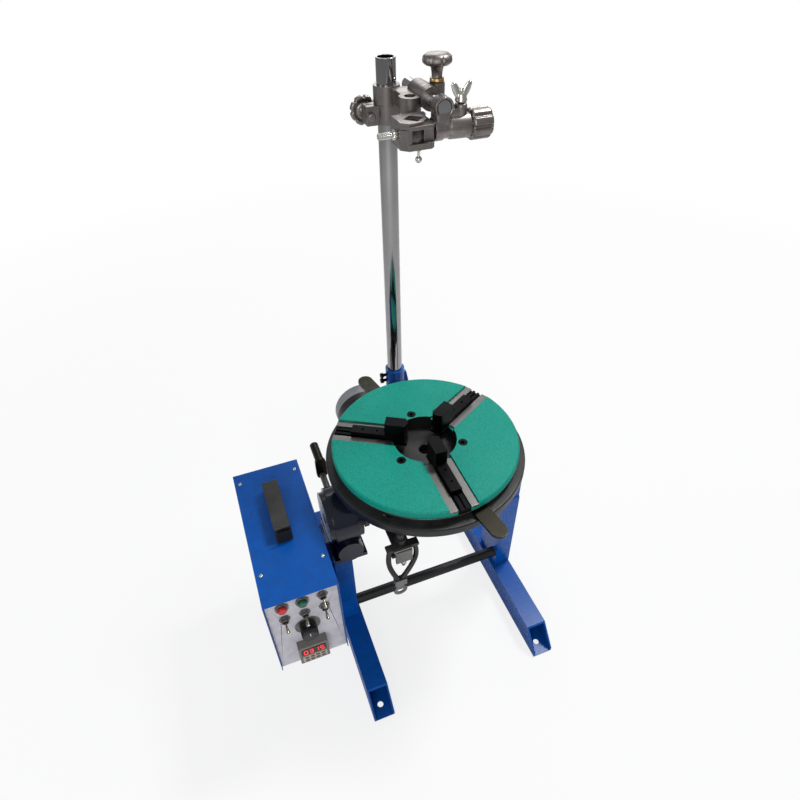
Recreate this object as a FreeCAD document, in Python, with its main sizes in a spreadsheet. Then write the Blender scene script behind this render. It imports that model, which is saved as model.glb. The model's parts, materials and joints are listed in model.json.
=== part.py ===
import FreeCAD, Part
import Sketcher
import math
import os
import re

# Bench-top welding positioner: a tilting, turning table with a three-jaw chuck,
# a control box hung on the left leg, and a torch clamp on a column behind.
# Millimetres. Z is up, X runs along the tilt shaft, the floor is Z = 0 and
# the table turns about X = Y = 0. Everything is drawn with the table level.

sizes = {
    # frame
    "leg_spread": 322, "foot_wide": 38, "foot_tall": 50, "foot_wall": 3,
    "foot_front": 212, "foot_back": 274, "foot_bevel": 36, "foot_lip": 8,
    "bolt_spread_y": 376, "bolt_hole": 11,
    "post_wide": 32, "post_deep": 62, "post_tall": 212, "post_round": 9,
    "bar_dia": 20, "bar_y": -19, "bar_z": 82,
    "beam_wide": 40, "beam_tall": 40, "beam_wall": 3,
    # column behind the table
    "column_x": 38, "column_y": 244, "column_dia": 28, "column_wall": 2.5,
    "column_above": 39, "socket_dia": 37, "socket_top": 404,
    "gusset_thick": 8, "gusset_reach": 84, "screw_dia": 6, "screw_head": 10,
    "screw_gap": 13,
    # tilt axis and its two supports
    "tilt_rise": 66, "trunnion_dia": 20, "gear_case_wide": 56,
    "gear_case_deep": 98, "gear_flange_dia": 88, "worm_drop": 40,
    "worm_dia": 22, "worm_shaft_dia": 12, "barrel_dia": 44,
    "block_wide": 30, "block_dia": 60, "crank_y": 131, "crank_reach": 30,
    "crank_wide": 20, "crank_thick": 6, "crank_grip": 44, "handle_dia": 16,
    # yoke under the table
    "yoke_clear": 6, "yoke_deep": 110, "yoke_thick": 8, "yoke_top": 391,
    # table drive
    "drive_offset": 42, "drive_z": 343, "drive_deep": 116, "drive_wide": 114,
    "drive_tall": 78, "drive_round": 16, "motor_dia": 104, "motor_back": 238, "motor_cap": 30,
    "spindle_dia": 40, "spindle_bore": 20,
    # turntable and chuck
    "table_dia": 323, "table_thick": 16, "table_top": 425,
    "chuck_dia": 300, "chuck_top": 450, "chuck_thick": 12, "chuck_bore": 101, "chuck_hub": 134,
    "scroll_dia": 292, "scroll_thick": 6, "lever_wide": 26, "lever_thick": 5,
    "lever_past": 42.5, "slot_wide": 46, "slot_deep": 6, "rail_gap": 21,
    "rail_thick": 3, "jaw_start": 28, "slider_wide": 17, "slider_end": 120,
    "slider_rise": 6, "jaw_wide": 19, "jaw_long": 36, "jaw_rise": 30, "tooth_pitch": 12, "jaw_in": 20,
    "screw_circle": 121, "screw_sink": 15, "screw_size": 8,
    # earth brush
    "brush_x": -92, "brush_inset": 33.5, "brush_dia": 18, "lead_dia": 8,
    "lead_spread": 19, "lead_back": 6, "lug_x": -102, "lug_gap": 22, "lug_top": 328,
    "lug_eye": 22, "lug_hole": 10.5,
    "brush_plate": 26, "brush_plate_thick": 4, "brush_plate_over": 16, "brush_lip": 26,
    "brush_wall": 3, "brush_long": 44, "brush_below": 24, "brush_spring": 8,
    "brush_ear_wide": 30, "brush_ear_deep": 7, "brush_bar_deep": 12, "brush_bar_thick": 5,
    # torch arm
    "arm_z": 903, "collar_dia": 38, "collar_tall": 26, "arm_rod_dia": 18,
    "arm_rod_x": 73, "arm_rod_front": 122, "arm_rod_back": 252,
    "knob_dia": 40, "knob_thick": 13, "shank_dia": 22, "shank_drop": 27,
    "torch_wide": 46, "torch_tall": 34, "torch_deep": 46, "torch_hole": 20,
    "jaw_pad_wide": 12, "jaw_pad_tall": 16, "jaw_pad_thick": 6,
    "clamp_screw": 8, "collar_low": 45, "collar_ear_wide": 18, "collar_ear_deep": 22,
    "collar_ear_x": 6, "collar_slit": 2.4, "pinch_x": 9, "sleeve_above": 5,
    "web_wide": 34, "web_deep": 34, "web_tall": 19, "web_drop": 16, "web_back": 32,
    "web_shift": 2, "neck_wide": 18, "neck_deep": 24, "neck_x": 8, "neck_back": 20,
    "rod_barrel_dia": 30, "rod_barrel_long": 52, "rod_barrel_front": 80,
    "spare_ring_dia": 30, "spare_ring_tall": 20, "spare_bore": 16, "spare_x": 24,
    "spare_back": 62, "spare_drop": 17, "knob_boss_dia": 22, "knob_boss_tall": 22,
    "knob_boss_x": 18, "knob_boss_back": 54, "knob_boss_drop": 8, "knob_neck_dia": 18,
    "knob_neck_end": 14, "knob_neck_long": 22, "knob_rise": 35,
    "cross_wide": 50, "cross_deep": 26, "cross_tall": 30, "cross_shift": 12, "cross_back": 10,
    "shank_boss_x": 24, "shank_boss_wide": 30, "shank_boss_tall": 34, "shank_boss_low": 16,
    "shank_in_wheel": 5, "shank_wheel": 30, "wing_x": 27, "wing_hub": 15, "wing_hub_tall": 8,
    "wing_wide": 34, "wing_thick": 5, "wing_tall": 10, "wing_rise": 19,
    "torch_side": 16, "torch_wall": 6, "torch_screw_dia": 7, "torch_screw_out": 26,
    "torch_nut_dia": 13, "torch_nut_thick": 6, "torch_bar_dia": 4.5, "torch_bar_long": 34,
    "torch_bar_out": 22,
    # control box
    "box_x": -250.5, "box_y": -7, "box_wide": 113, "box_deep": 266,
    "box_tall": 194, "box_base": 158, "sheet_metal": 1.5, "panel_recess": 6,
    "bracket_low": 176, "bracket_high": 226, "bracket_deep": 40, "bracket_tall": 6,
    "panel_pitch": 30.5, "button_drop": 20, "switch_drop": 52, "dial_drop": 90, "timer_up": 38,
    "button_dia": 14, "button_rise": 9, "bezel_dia": 20, "bezel_thick": 4,
    "nut_size": 15, "nut_thick": 3, "bush_dia": 11, "bush_bore": 8, "bush_reach": 8,
    "bush_deep": 6, "lever_long": 19, "lever_tilt": 12,
    "dial_dia": 40, "dial_thick": 2, "speed_knob_dia": 26, "speed_skirt": 4, "speed_knob_rise": 20, "speed_shaft": 6,
    "timer_size": 48, "timer_rise": 14, "timer_body": 44, "timer_back": 62,
    "grip_long": 116, "grip_y": 18, "grip_wide": 26, "grip_rise": 28, "grip_thick": 12,
    # fits
    "run_gap": 0.05, "air_gap": 0.4, "seat_gap": 0.3,
}

doc = FreeCAD.newDocument("welding_positioner")
sheet = doc.addObject("Spreadsheet::Sheet", "Sizes")
for row, (alias, value) in enumerate(sizes.items(), start=1):
    sheet.set("A%d" % row, alias)
    sheet.set("B%d" % row, str(value))
    sheet.setAlias("B%d" % row, alias)
doc.recompute()

nodes = {}
turns = {
    "x": FreeCAD.Rotation(FreeCAD.Vector(0, 1, 0), 90),
    "y": FreeCAD.Rotation(FreeCAD.Vector(1, 0, 0), -90),
    "z": FreeCAD.Rotation(),
}


def bind(thing, prop, rule):
    """Tie one property to the sheet; rule is arithmetic on the sheet's words."""
    def named(word):
        return "Sizes." + word.group() if word.group() in sizes else word.group()
    thing.setExpression(prop, re.sub(r"[a-z]+(_[a-z]+)*", named, str(rule)))


def put(thing, x=0, y=0, z=0):
    for axis, rule in (("x", x), ("y", y), ("z", z)):
        bind(thing, "Placement.Base." + axis, rule)
    return thing


def block(wide, deep, tall, x=0, y=0, z=0):
    """A box centred on x and y that stands on z."""
    made = doc.addObject("Part::Box", "block")
    bind(made, "Length", wide)
    bind(made, "Width", deep)
    bind(made, "Height", tall)
    return put(made, "(%s) - (%s)/2" % (x, wide), "(%s) - (%s)/2" % (y, deep), z)


def drum(dia, long, x=0, y=0, z=0, along="z"):
    """A cylinder that starts at x, y, z and runs along one axis."""
    made = doc.addObject("Part::Cylinder", "drum")
    made.Placement.Rotation = turns[along]
    bind(made, "Radius", "(%s)/2" % dia)
    bind(made, "Height", long)
    return put(made, x, y, z)


def taper(dia, end_dia, long, x=0, y=0, z=0, along="z"):
    made = doc.addObject("Part::Cone", "taper")
    made.Placement.Rotation = turns[along]
    bind(made, "Radius1", "(%s)/2" % dia)
    bind(made, "Radius2", "(%s)/2" % end_dia)
    bind(made, "Height", long)
    return put(made, x, y, z)


def fuse(*pieces):
    made = doc.addObject("Part::MultiFuse", "fuse")
    made.Shapes = list(pieces)
    made.Refine = True
    return made


def cut(base, *tools):
    made = doc.addObject("Part::Cut", "cut")
    made.Base = base
    made.Tool = tools[0] if len(tools) == 1 else fuse(*tools)
    made.Refine = True
    return made


def tube(dia, bore, long, x=0, y=0, z=0, along="z"):
    return cut(drum(dia, long, x, y, z, along), drum(bore, long, x, y, z, along))


def group(*pieces):
    """Separate solids that share one node."""
    made = doc.addObject("Part::Compound", "group")
    made.Links = list(pieces)
    return made


def spin(thing, angle):
    """Turn a finished piece about the table axis."""
    thing.Placement.Rotation = FreeCAD.Rotation(FreeCAD.Vector(0, 0, 1), angle)
    return thing


def sketch(body, plane, name):
    made = body.newObject("Sketcher::SketchObject", name)
    face = [f for f in body.Origin.OriginFeatures if f.Role == plane + "_Plane"]
    made.AttachmentSupport = [(face[0], "")]
    made.MapMode = "FlatFace"
    return made


def outline(shape, corners):
    """A closed polygon whose every corner is dimensioned from the origin."""
    count = len(corners)
    for i in range(count):
        start, end = 2 * math.pi * i / count, 2 * math.pi * (i + 1) / count
        shape.addGeometry(Part.LineSegment(
            FreeCAD.Vector(50 * math.cos(start), 50 * math.sin(start), 0),
            FreeCAD.Vector(50 * math.cos(end), 50 * math.sin(end), 0)), False)
    for i in range(count):
        shape.addConstraint(Sketcher.Constraint("Coincident", i, 2, (i + 1) % count, 1))
    for i, (across, up) in enumerate(corners):
        for kind, rule in (("DistanceX", across), ("DistanceY", up)):
            place = shape.addConstraint(Sketcher.Constraint(kind, -1, 1, i, 1, 10.0))
            bind(shape, "Constraints[%d]" % place, rule)


def rings(shape, circles):
    """Circles, each given as its centre and its diameter."""
    for across, up, dia in circles:
        i = shape.addGeometry(
            Part.Circle(FreeCAD.Vector(5, 5, 0), FreeCAD.Vector(0, 0, 1), 5), False)
        place = shape.addConstraint(Sketcher.Constraint("Radius", i, 5.0))
        bind(shape, "Constraints[%d]" % place, "(%s)/2" % dia)
        for kind, rule in (("DistanceX", across), ("DistanceY", up)):
            place = shape.addConstraint(Sketcher.Constraint(kind, -1, 1, i, 3, 5.0))
            bind(shape, "Constraints[%d]" % place, rule)


def padded(name, plane, corners, thick, x=0, y=0, z=0):
    """A plate padded evenly both ways from its sketch plane."""
    body = doc.addObject("PartDesign::Body", name)
    shape = sketch(body, plane, name + "_outline")
    outline(shape, corners)
    pad = body.newObject("PartDesign::Pad", name + "_pad")
    pad.Profile = shape
    bind(pad, "Length", thick)
    pad.SideType = "Symmetric"
    return put(body, x, y, z)


def turned(name, corners, x=0, y=0, z=0, along="z"):
    """A piece turned about its own axis from half its section."""
    body = doc.addObject("PartDesign::Body", name)
    shape = sketch(body, "XZ", name + "_section")
    outline(shape, corners)
    lathe = body.newObject("PartDesign::Revolution", name + "_turned")
    lathe.Profile = shape
    lathe.ReferenceAxis = (shape, ["V_Axis"])
    lathe.Angle = 360
    body.Placement.Rotation = turns[along]
    return put(body, x, y, z)


def rounded(base, radius, chosen):
    """Round the edges that chosen picks out by their middle and direction."""
    doc.recompute()
    made = doc.addObject("Part::Fillet", "rounded")
    made.Base = base
    picked = []
    for number, edge in enumerate(base.Shape.Edges, start=1):
        if chosen(edge.CenterOfMass, edge):
            picked.append((number, radius, radius))
    made.Edges = picked
    return made


def value(alias):
    return float(sheet.get(alias))


def node(label, piece):
    nodes[label] = piece


# ---- places that several pieces share ----
post_x = "(leg_spread + foot_wide - post_wide)/2"
post_in = "(leg_spread + foot_wide)/2 - post_wide"
post_top = "(foot_tall + post_tall)"
tilt_z = "(foot_tall + post_tall + tilt_rise)"
worm_z = "(foot_tall + post_tall + tilt_rise - worm_drop)"
beam_top = "((foot_tall + beam_tall)/2)"
brush_y = "(brush_inset - table_dia/2)"
yoke_span = "(leg_spread + foot_wide - 2*gear_case_wide - 2*yoke_clear)"
case_x = "(gear_case_wide/2 - (leg_spread + foot_wide)/2)"


def frame():
    side_view = [
        ("-foot_front", 0), ("-foot_front", "foot_lip"),
        ("foot_bevel - foot_front", "foot_tall"), ("foot_back - foot_bevel", "foot_tall"),
        ("foot_back", "foot_lip"), ("foot_back", 0)]
    reach = "foot_front + foot_back + 2"
    for side, name in ((-1, "left"), (1, "right")):
        x = "%d*leg_spread/2" % side
        shell = padded("foot_" + name, "YZ", side_view, "foot_wide", x)
        hollow = block("foot_wide - 2*foot_wall", reach, "foot_tall - 2*foot_wall",
                       x, "(foot_back - foot_front)/2", "foot_wall")
        holes = [drum("bolt_hole", "2*foot_wall", x, "%d*bolt_spread_y/2" % end, "-foot_wall/2")
                 for end in (-1, 1)]
        access = drum("2*bolt_hole", "2*foot_wall", x, "bolt_spread_y/2",
                      "foot_tall - 1.5*foot_wall")
        foot = cut(shell, hollow, access, *holes)

        x = "%d*%s" % (side, post_x)
        shell = block("post_wide", "post_deep", "post_tall", x, 0, "foot_tall")
        top = value("foot_tall") + value("post_tall")
        shell = rounded(shell, value("post_round"),
                        lambda middle, edge: abs(middle.z - top) < 0.01 and abs(middle.y) > 1)
        hollow = block("post_wide - 2*foot_wall", "post_deep - 2*foot_wall",
                       "post_tall - foot_wall", x, 0, "foot_tall - 0.5")
        pieces = [foot, cut(shell, hollow)]
        if side < 0:
            outer = "(leg_spread + foot_wide)/2"
            reach_in = "-box_x - box_wide/2 - " + outer
            for z in ("bracket_low", "bracket_high"):
                pieces.append(block(reach_in, "bracket_deep", "bracket_tall",
                                    "-(%s)/2 - %s" % (reach_in, outer), 0, z))
        node("leg_" + name, fuse(*pieces))
    node("front_crossbar", drum("bar_dia", "2*(%s)" % post_in, "-(%s)" % post_in,
                                "bar_y", "bar_z", "x"))
    span = "leg_spread - foot_wide"
    low = "(foot_tall - beam_tall)/2"
    node("rear_beam", cut(
        block(span, "beam_wide", "beam_tall", 0, "column_y", low),
        block(span + " + 2", "beam_wide - 2*beam_wall", "beam_tall - 2*beam_wall",
              0, "column_y", low + " + beam_wall")))


def column():
    tall = "socket_top - " + beam_top
    sleeve = drum("socket_dia", tall, "column_x", "column_y", beam_top)
    web = padded("socket_gusset", "XZ", [
        (0, beam_top), ("gusset_reach", beam_top), ("socket_dia/2 + 4", "socket_top - 14"),
        (0, "socket_top - 14")], "gusset_thick", "column_x", "column_y")
    bore = drum("column_dia + 2*run_gap", tall, "column_x", "column_y", beam_top)
    tapped, screws = [], []
    for step in (1, 2):
        z = "socket_top - %d*screw_gap" % step
        edge = "column_x - socket_dia/2"
        tapped.append(drum("screw_dia + 2*run_gap", "socket_dia/2", edge + " - 2",
                           "column_y", z, "x"))
        shaft = drum("screw_dia", "(socket_dia - column_dia)/2 + screw_dia - seat_gap",
                     edge + " - screw_dia", "column_y", z, "x")
        head = drum("screw_head", "screw_dia", edge + " - 2*screw_dia", "column_y", z, "x")
        socket = drum("screw_dia*0.8", "screw_dia/2", edge + " - 2*screw_dia",
                      "column_y", z, "x")
        screws.append(cut(fuse(shaft, head), socket))
    node("column_socket", cut(fuse(sleeve, web), bore, *tapped))
    node("column_screws", group(*screws))
    long = "(arm_z + column_above) - " + beam_top
    node("column", tube("column_dia", "column_dia - 2*column_wall", long,
                        "column_x", "column_y", beam_top))


def tilt_unit():
    deep, wide = "gear_case_deep", "gear_case_wide"
    wheel_dia = "(2*(worm_drop - worm_dia/2 - air_gap))"
    left = "%s - %s/2" % (case_x, wide)
    # cast case: wheel drum, two flanges, worm barrel and a foot
    foot = block(wide, deep, "8", case_x, 0, post_top)
    waist = block("0.62*" + wide, "0.7*" + deep, "tilt_rise", case_x, 0, post_top)
    wheel_part = drum(deep, "0.7*" + wide, "%s - 0.35*%s" % (case_x, wide), 0, tilt_z, "x")
    flange = drum("gear_flange_dia", wide, left, 0, tilt_z, "x")
    barrel = drum("barrel_dia", "%s + 8" % deep, case_x, "-%s/2 - 4" % deep, worm_z, "y")
    solid = fuse(foot, waist, wheel_part, flange, barrel)
    room = drum(wheel_dia + " + 4*air_gap", "0.5*" + wide,
                "%s - 0.25*%s" % (case_x, wide), 0, tilt_z, "x")
    worm_room = drum("worm_dia + 4*air_gap", "0.8*" + deep, case_x,
                     "-0.4*" + deep, worm_z, "y")
    shaft_hole = drum("trunnion_dia + 2*run_gap", wide + " + 2", left + " - 1",
                      0, tilt_z, "x")
    input_hole = drum("worm_shaft_dia + 2*run_gap", deep, case_x, 0, worm_z, "y")
    node("tilt_gear_case", cut(solid, room, worm_room, shaft_hole, input_hole))

    # bearing block on the right post
    x = post_x
    pedestal = block("block_wide", "block_dia", "tilt_rise", x, 0, post_top)
    crown = drum("block_dia", "block_wide", "%s - block_wide/2" % x, 0, tilt_z, "x")
    hole = drum("trunnion_dia + 2*run_gap", "block_wide + 2", "%s - block_wide/2 - 1" % x,
                0, tilt_z, "x")
    node("tilt_bearing_block", cut(fuse(pedestal, crown), hole))

    # worm and its crank; the shaft is long enough to clear the control box
    worm = drum("worm_dia", "0.7*" + deep, case_x, "-0.35*" + deep, worm_z, "y")
    shaft = drum("worm_shaft_dia", "crank_y + crank_thick + 0.4*" + deep, case_x,
                 "-0.4*%s + air_gap" % deep, worm_z, "y")
    node("tilt_worm", fuse(worm, shaft))
    hub_y = "crank_y"
    arm = block("crank_wide", "crank_thick", "crank_reach", case_x,
                hub_y + " + crank_thick/2", worm_z)
    ends = [drum("crank_wide", "crank_thick", case_x, hub_y, worm_z + rise, "y")
            for rise in ("", " + crank_reach")]
    grip = drum("handle_dia", "crank_grip", case_x, hub_y + " + crank_thick",
                worm_z + " + crank_reach", "y")
    bore = drum("worm_shaft_dia", "2*crank_thick", case_x, hub_y + " - 1", worm_z, "y")
    node("tilt_crank", cut(fuse(arm, grip, *ends), bore))

    # wheel on the left trunnion
    teeth = [spin_about(drum("3", "0.5*" + wide, "-0.25*" + wide, 0, 0, "x"),
                        360.0 / 20 * i, wheel_dia) for i in range(20)]
    blank = drum(wheel_dia, "0.36*" + wide, "-0.18*" + wide, 0, 0, "x")
    bore = drum("trunnion_dia", wide, "-%s/2" % wide, 0, 0, "x")
    node("tilt_worm_wheel", put(cut(blank, bore, *teeth), case_x, 0, tilt_z))

    # yoke: plate, two cheeks and the trunnions
    drop = "yoke_top - %s + 24" % tilt_z
    low = tilt_z + " - 24"
    plate = block(yoke_span, "yoke_deep", "yoke_thick", 0, 0, "yoke_top - yoke_thick")
    parts = [plate]
    for side in (-1, 1):
        x = "%d*(%s - yoke_thick)/2" % (side, yoke_span)
        parts.append(padded("yoke_cheek", "YZ", [
            ("-yoke_deep/2", "yoke_top"), ("-24", low), ("24", low),
            ("yoke_deep/2", "yoke_top")], "yoke_thick", x))
    parts.append(drum("trunnion_dia", "yoke_thick + %s + block_wide - %s/2 + 1" % (post_in, yoke_span),
                      yoke_span + "/2 - yoke_thick", 0, tilt_z, "x"))
    outer = "(leg_spread + foot_wide)/2"
    parts.append(drum("trunnion_dia", "%s - %s/2 + yoke_thick" % (outer, yoke_span),
                      "-" + outer, 0, tilt_z, "x"))
    hole = drum("spindle_dia + 2*run_gap", "4*yoke_thick", 0, 0, "yoke_top - 2*yoke_thick")
    node("tilt_yoke", cut(fuse(*parts), hole))


def spin_about(thing, angle, circle):
    """Set a tooth gap on the rim of a wheel that turns about X."""
    turn = math.radians(angle)
    bind(thing, "Placement.Base.y", "%s/2*%.6f" % (circle, math.cos(turn)))
    bind(thing, "Placement.Base.z", "%s/2*%.6f" % (circle, math.sin(turn)))
    return thing


def table_drive():
    x = "-drive_offset"
    top = "yoke_top - yoke_thick"
    case = block("drive_wide", "drive_deep", "drive_tall", "2 - drive_offset/2", 0,
                 top + " - drive_tall")
    half = value("drive_deep") / 2
    case = rounded(case, value("drive_round"), lambda middle, edge: abs(abs(middle.y) - half) < 0.01
                   and abs(edge.tangentAt(edge.FirstParameter).z) > 0.9)
    barrel = drum("56", "drive_deep + 16", x, "-drive_deep/2 - 8", "drive_z", "y")
    boss = drum("84", "6", 0, 0, top + " - drive_tall - 6")
    wheel_dia = "(2*(drive_offset - worm_dia/2 - air_gap))"
    room = drum(wheel_dia + " + 4*air_gap", "30", 0, 0, "drive_z - 15")
    worm_room = drum("worm_dia + 4*air_gap", "0.8*drive_deep", x, "-0.4*drive_deep",
                     "drive_z", "y")
    input_hole = drum("worm_shaft_dia + 2*run_gap", "drive_deep", x, 0, "drive_z", "y")
    spindle_hole = drum("spindle_dia + 2*run_gap", "2*drive_tall", 0, 0,
                        top + " - 1.5*drive_tall")
    node("drive_gear_case", cut(fuse(case, barrel, boss), room, worm_room, input_hole,
                                spindle_hole))
    front = "(drive_deep/2 + 8)"
    body = drum("motor_dia", "motor_back - motor_cap - " + front, x, front, "drive_z", "y")
    bore = drum("worm_shaft_dia + 4*air_gap", "30", x, front, "drive_z", "y")
    node("drive_motor", cut(body, bore))
    cap = drum("motor_dia - 2", "motor_cap", x, "motor_back - motor_cap", "drive_z", "y")
    back = value("motor_back")
    cap = rounded(cap, 12, lambda middle, edge: abs(middle.y - back) < 0.01)
    node("motor_end_cap", cap)
    worm = drum("worm_dia", "0.7*drive_deep", x, "-0.35*drive_deep", "drive_z", "y")
    shaft = drum("worm_shaft_dia", "0.4*drive_deep + %s + 20" % front, x,
                 "air_gap - 0.4*drive_deep", "drive_z", "y")
    node("drive_worm", fuse(worm, shaft))
    blank = drum(wheel_dia, "22", 0, 0, "drive_z - 11")
    gaps = [drum("3.4", "24", "%s/2*%.6f" % (wheel_dia, math.cos(math.radians(15 * i))),
                 "%s/2*%.6f" % (wheel_dia, math.sin(math.radians(15 * i))), "drive_z - 12")
            for i in range(24)]
    node("drive_worm_wheel", cut(blank, drum("spindle_dia", "30", 0, 0, "drive_z - 15"), *gaps))
    under = "(table_top - table_thick)"
    foot = top + " - drive_tall - 10"
    node("table_spindle", turned("table_spindle", [
        ("spindle_bore/2", foot), ("spindle_dia/2", foot),
        ("spindle_dia/2", under + " - 8"), ("spindle_dia", under + " - 8"),
        ("spindle_dia", under), ("spindle_bore/2", under)]))
    gap = "seat_gap"
    node("thrust_bearing", tube("1.9*spindle_dia", "spindle_dia + 2*air_gap",
                                under + " - 8 - yoke_top - " + gap, 0, 0, "yoke_top"))


def turntable():
    under = "(table_top - table_thick)"
    disc = turned("turntable", [
        ("spindle_bore/2", under), ("table_dia/2 - 1.5", under), ("table_dia/2", under + " + 1.5"),
        ("table_dia/2", "table_top - 1.5"), ("table_dia/2 - 1.5", "table_top"),
        ("spindle_bore/2", "table_top")])
    slots = []
    for i in range(4):
        slot = block("table_dia/4", "13", "2*table_thick", "0.33*table_dia", 0, under + " - 4")
        slots.append(spin(group(slot), 45 + 90 * i))
    node("turntable", cut(disc, *slots))


def chuck():
    under = "(chuck_top - chuck_thick)"
    # body: a ring with three radial ways and three counterbored screw holes
    body = doc.addObject("PartDesign::Body", "chuck_body")
    section = sketch(body, "XZ", "chuck_section")
    outline(section, [
        ("chuck_bore/2", "table_top"), ("chuck_hub/2", "table_top"), ("chuck_hub/2", under),
        ("chuck_dia/2", under), ("chuck_dia/2", "chuck_top - 2"),
        ("chuck_dia/2 - 2", "chuck_top"), ("chuck_bore/2", "chuck_top")])
    lathe = body.newObject("PartDesign::Revolution", "chuck_turned")
    lathe.Profile = section
    lathe.ReferenceAxis = (section, ["V_Axis"])
    lathe.Angle = 360
    ways, sunk, holes, rails, screws = [], [], [], [], []
    long = "(chuck_dia/2 - 2 - chuck_bore/2)"
    middle = "(chuck_dia/4 + chuck_bore/4)"
    for i in range(3):
        angle = 30 + 120 * i
        way = block("chuck_dia", "slot_wide", "2*slot_deep", "chuck_dia/2", 0,
                    "chuck_top - slot_deep")
        channel = block("chuck_dia", "rail_gap", "2*chuck_thick", "chuck_dia/2", 0, under)
        ways.append(spin(fuse(way, channel), angle))
        for side in (-1, 1):
            rail = block(long, "(slot_wide - rail_gap)/2", "rail_thick", middle,
                         "%d*(slot_wide + rail_gap)/4" % side, "chuck_top - slot_deep")
            rails.append(spin(group(rail), angle))
        turn = math.radians(90 + 120 * i)
        across = "screw_circle/2*%.6f" % math.cos(turn)
        up = "screw_circle/2*%.6f" % math.sin(turn)
        sunk.append(drum("screw_sink", "chuck_thick", across, up,
                         "chuck_top - screw_size - 0.6"))
        holes.append(drum("screw_size + 2*run_gap", "3*chuck_thick", across, up,
                          "table_top - 2"))
        head = drum("screw_sink - 2", "screw_size", across, up,
                    "chuck_top - screw_size - 0.6")
        hexagon = drum("screw_size*0.8", "screw_size", across, up,
                       "chuck_top - screw_size/2 - 0.6")
        shaft = drum("screw_size", "chuck_top - screw_size - table_top - 0.6", across, up,
                     "table_top")
        screws.append(cut(fuse(head, shaft), hexagon))
    node("chuck_body", cut(body, *(ways + sunk + holes)))
    node("slot_rails", group(*rails))
    node("chuck_screws", group(*screws))

    low = "(table_top + seat_gap)"
    ring = tube("scroll_dia", "chuck_hub + 2*run_gap", "scroll_thick", 0, 0, low)
    node("scroll_plate", ring)
    inside = drum("scroll_dia", "3*scroll_thick", 0, 0, "table_top - 2")
    node("scroll_lever", spin(cut(lever("scroll_dia/2 - 14", low), inside), -79.5))
    node("body_lever", spin(lever("chuck_hub/2 + 10", under + " - lever_thick"), 102))

    for i in range(3):
        angle = 30 + 120 * i
        foot_z = "(%s + seat_gap)" % under
        mid_z = "(chuck_top - slot_deep)"
        end = "(chuck_dia/2 - 2)"
        foot = block(end + " - jaw_start", "rail_gap - 2*air_gap",
                     mid_z + " - " + foot_z, "(%s + jaw_start)/2" % end, 0, foot_z)
        start = "(jaw_start + jaw_long)"
        bar = block("slider_end - " + start, "slider_wide",
                    "slider_rise + slot_deep", "(slider_end + %s)/2" % start, 0, mid_z)
        spine = [block(end + " - slider_end", "slider_wide/4", "slot_deep/2",
                       "(%s + slider_end)/2" % end, "%d*slider_wide/4" % side, mid_z)
                 for side in (-1, 1)]
        tooth_z = "(" + low + " + scroll_thick + seat_gap)"
        teeth = [block("tooth_pitch/2 - 1", "slider_wide", foot_z + " - " + tooth_z,
                       "chuck_hub/2 + jaw_in + %.1f*tooth_pitch" % (n + 0.5), 0, tooth_z)
                 for n in range(4)]
        holes = [drum("4", "slider_rise + slot_deep", "%s + %.2f*(slider_end - %s)"
                      % (start, share, start), 0, mid_z + " + 2") for share in (0.25, 0.68)]
        tip = "jaw_start"
        half = "jaw_wide/2"
        block_body = padded("jaw_head_%d" % (i + 1), "XY", [
            (tip, "-2"), (tip + " + 4", "-" + half), (start, "-" + half),
            (start, half), (tip + " + 4", half), (tip, "2")],
            "jaw_rise + slot_deep", 0, 0, mid_z + " + (jaw_rise + slot_deep)/2")
        node("jaw_%d" % (i + 1), spin(cut(fuse(foot, bar, block_body, *(spine + teeth)),
                                          *holes), angle))


def lever(start, z):
    """A flat hand lever along X with a round end."""
    straight = "table_dia/2 + lever_past - lever_wide/2"
    bar = block("%s - (%s)" % (straight, start), "lever_wide", "lever_thick",
                "(%s + %s)/2" % (straight, start), 0, z)
    return fuse(bar, drum("lever_wide", "lever_thick", straight, 0, z))


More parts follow.
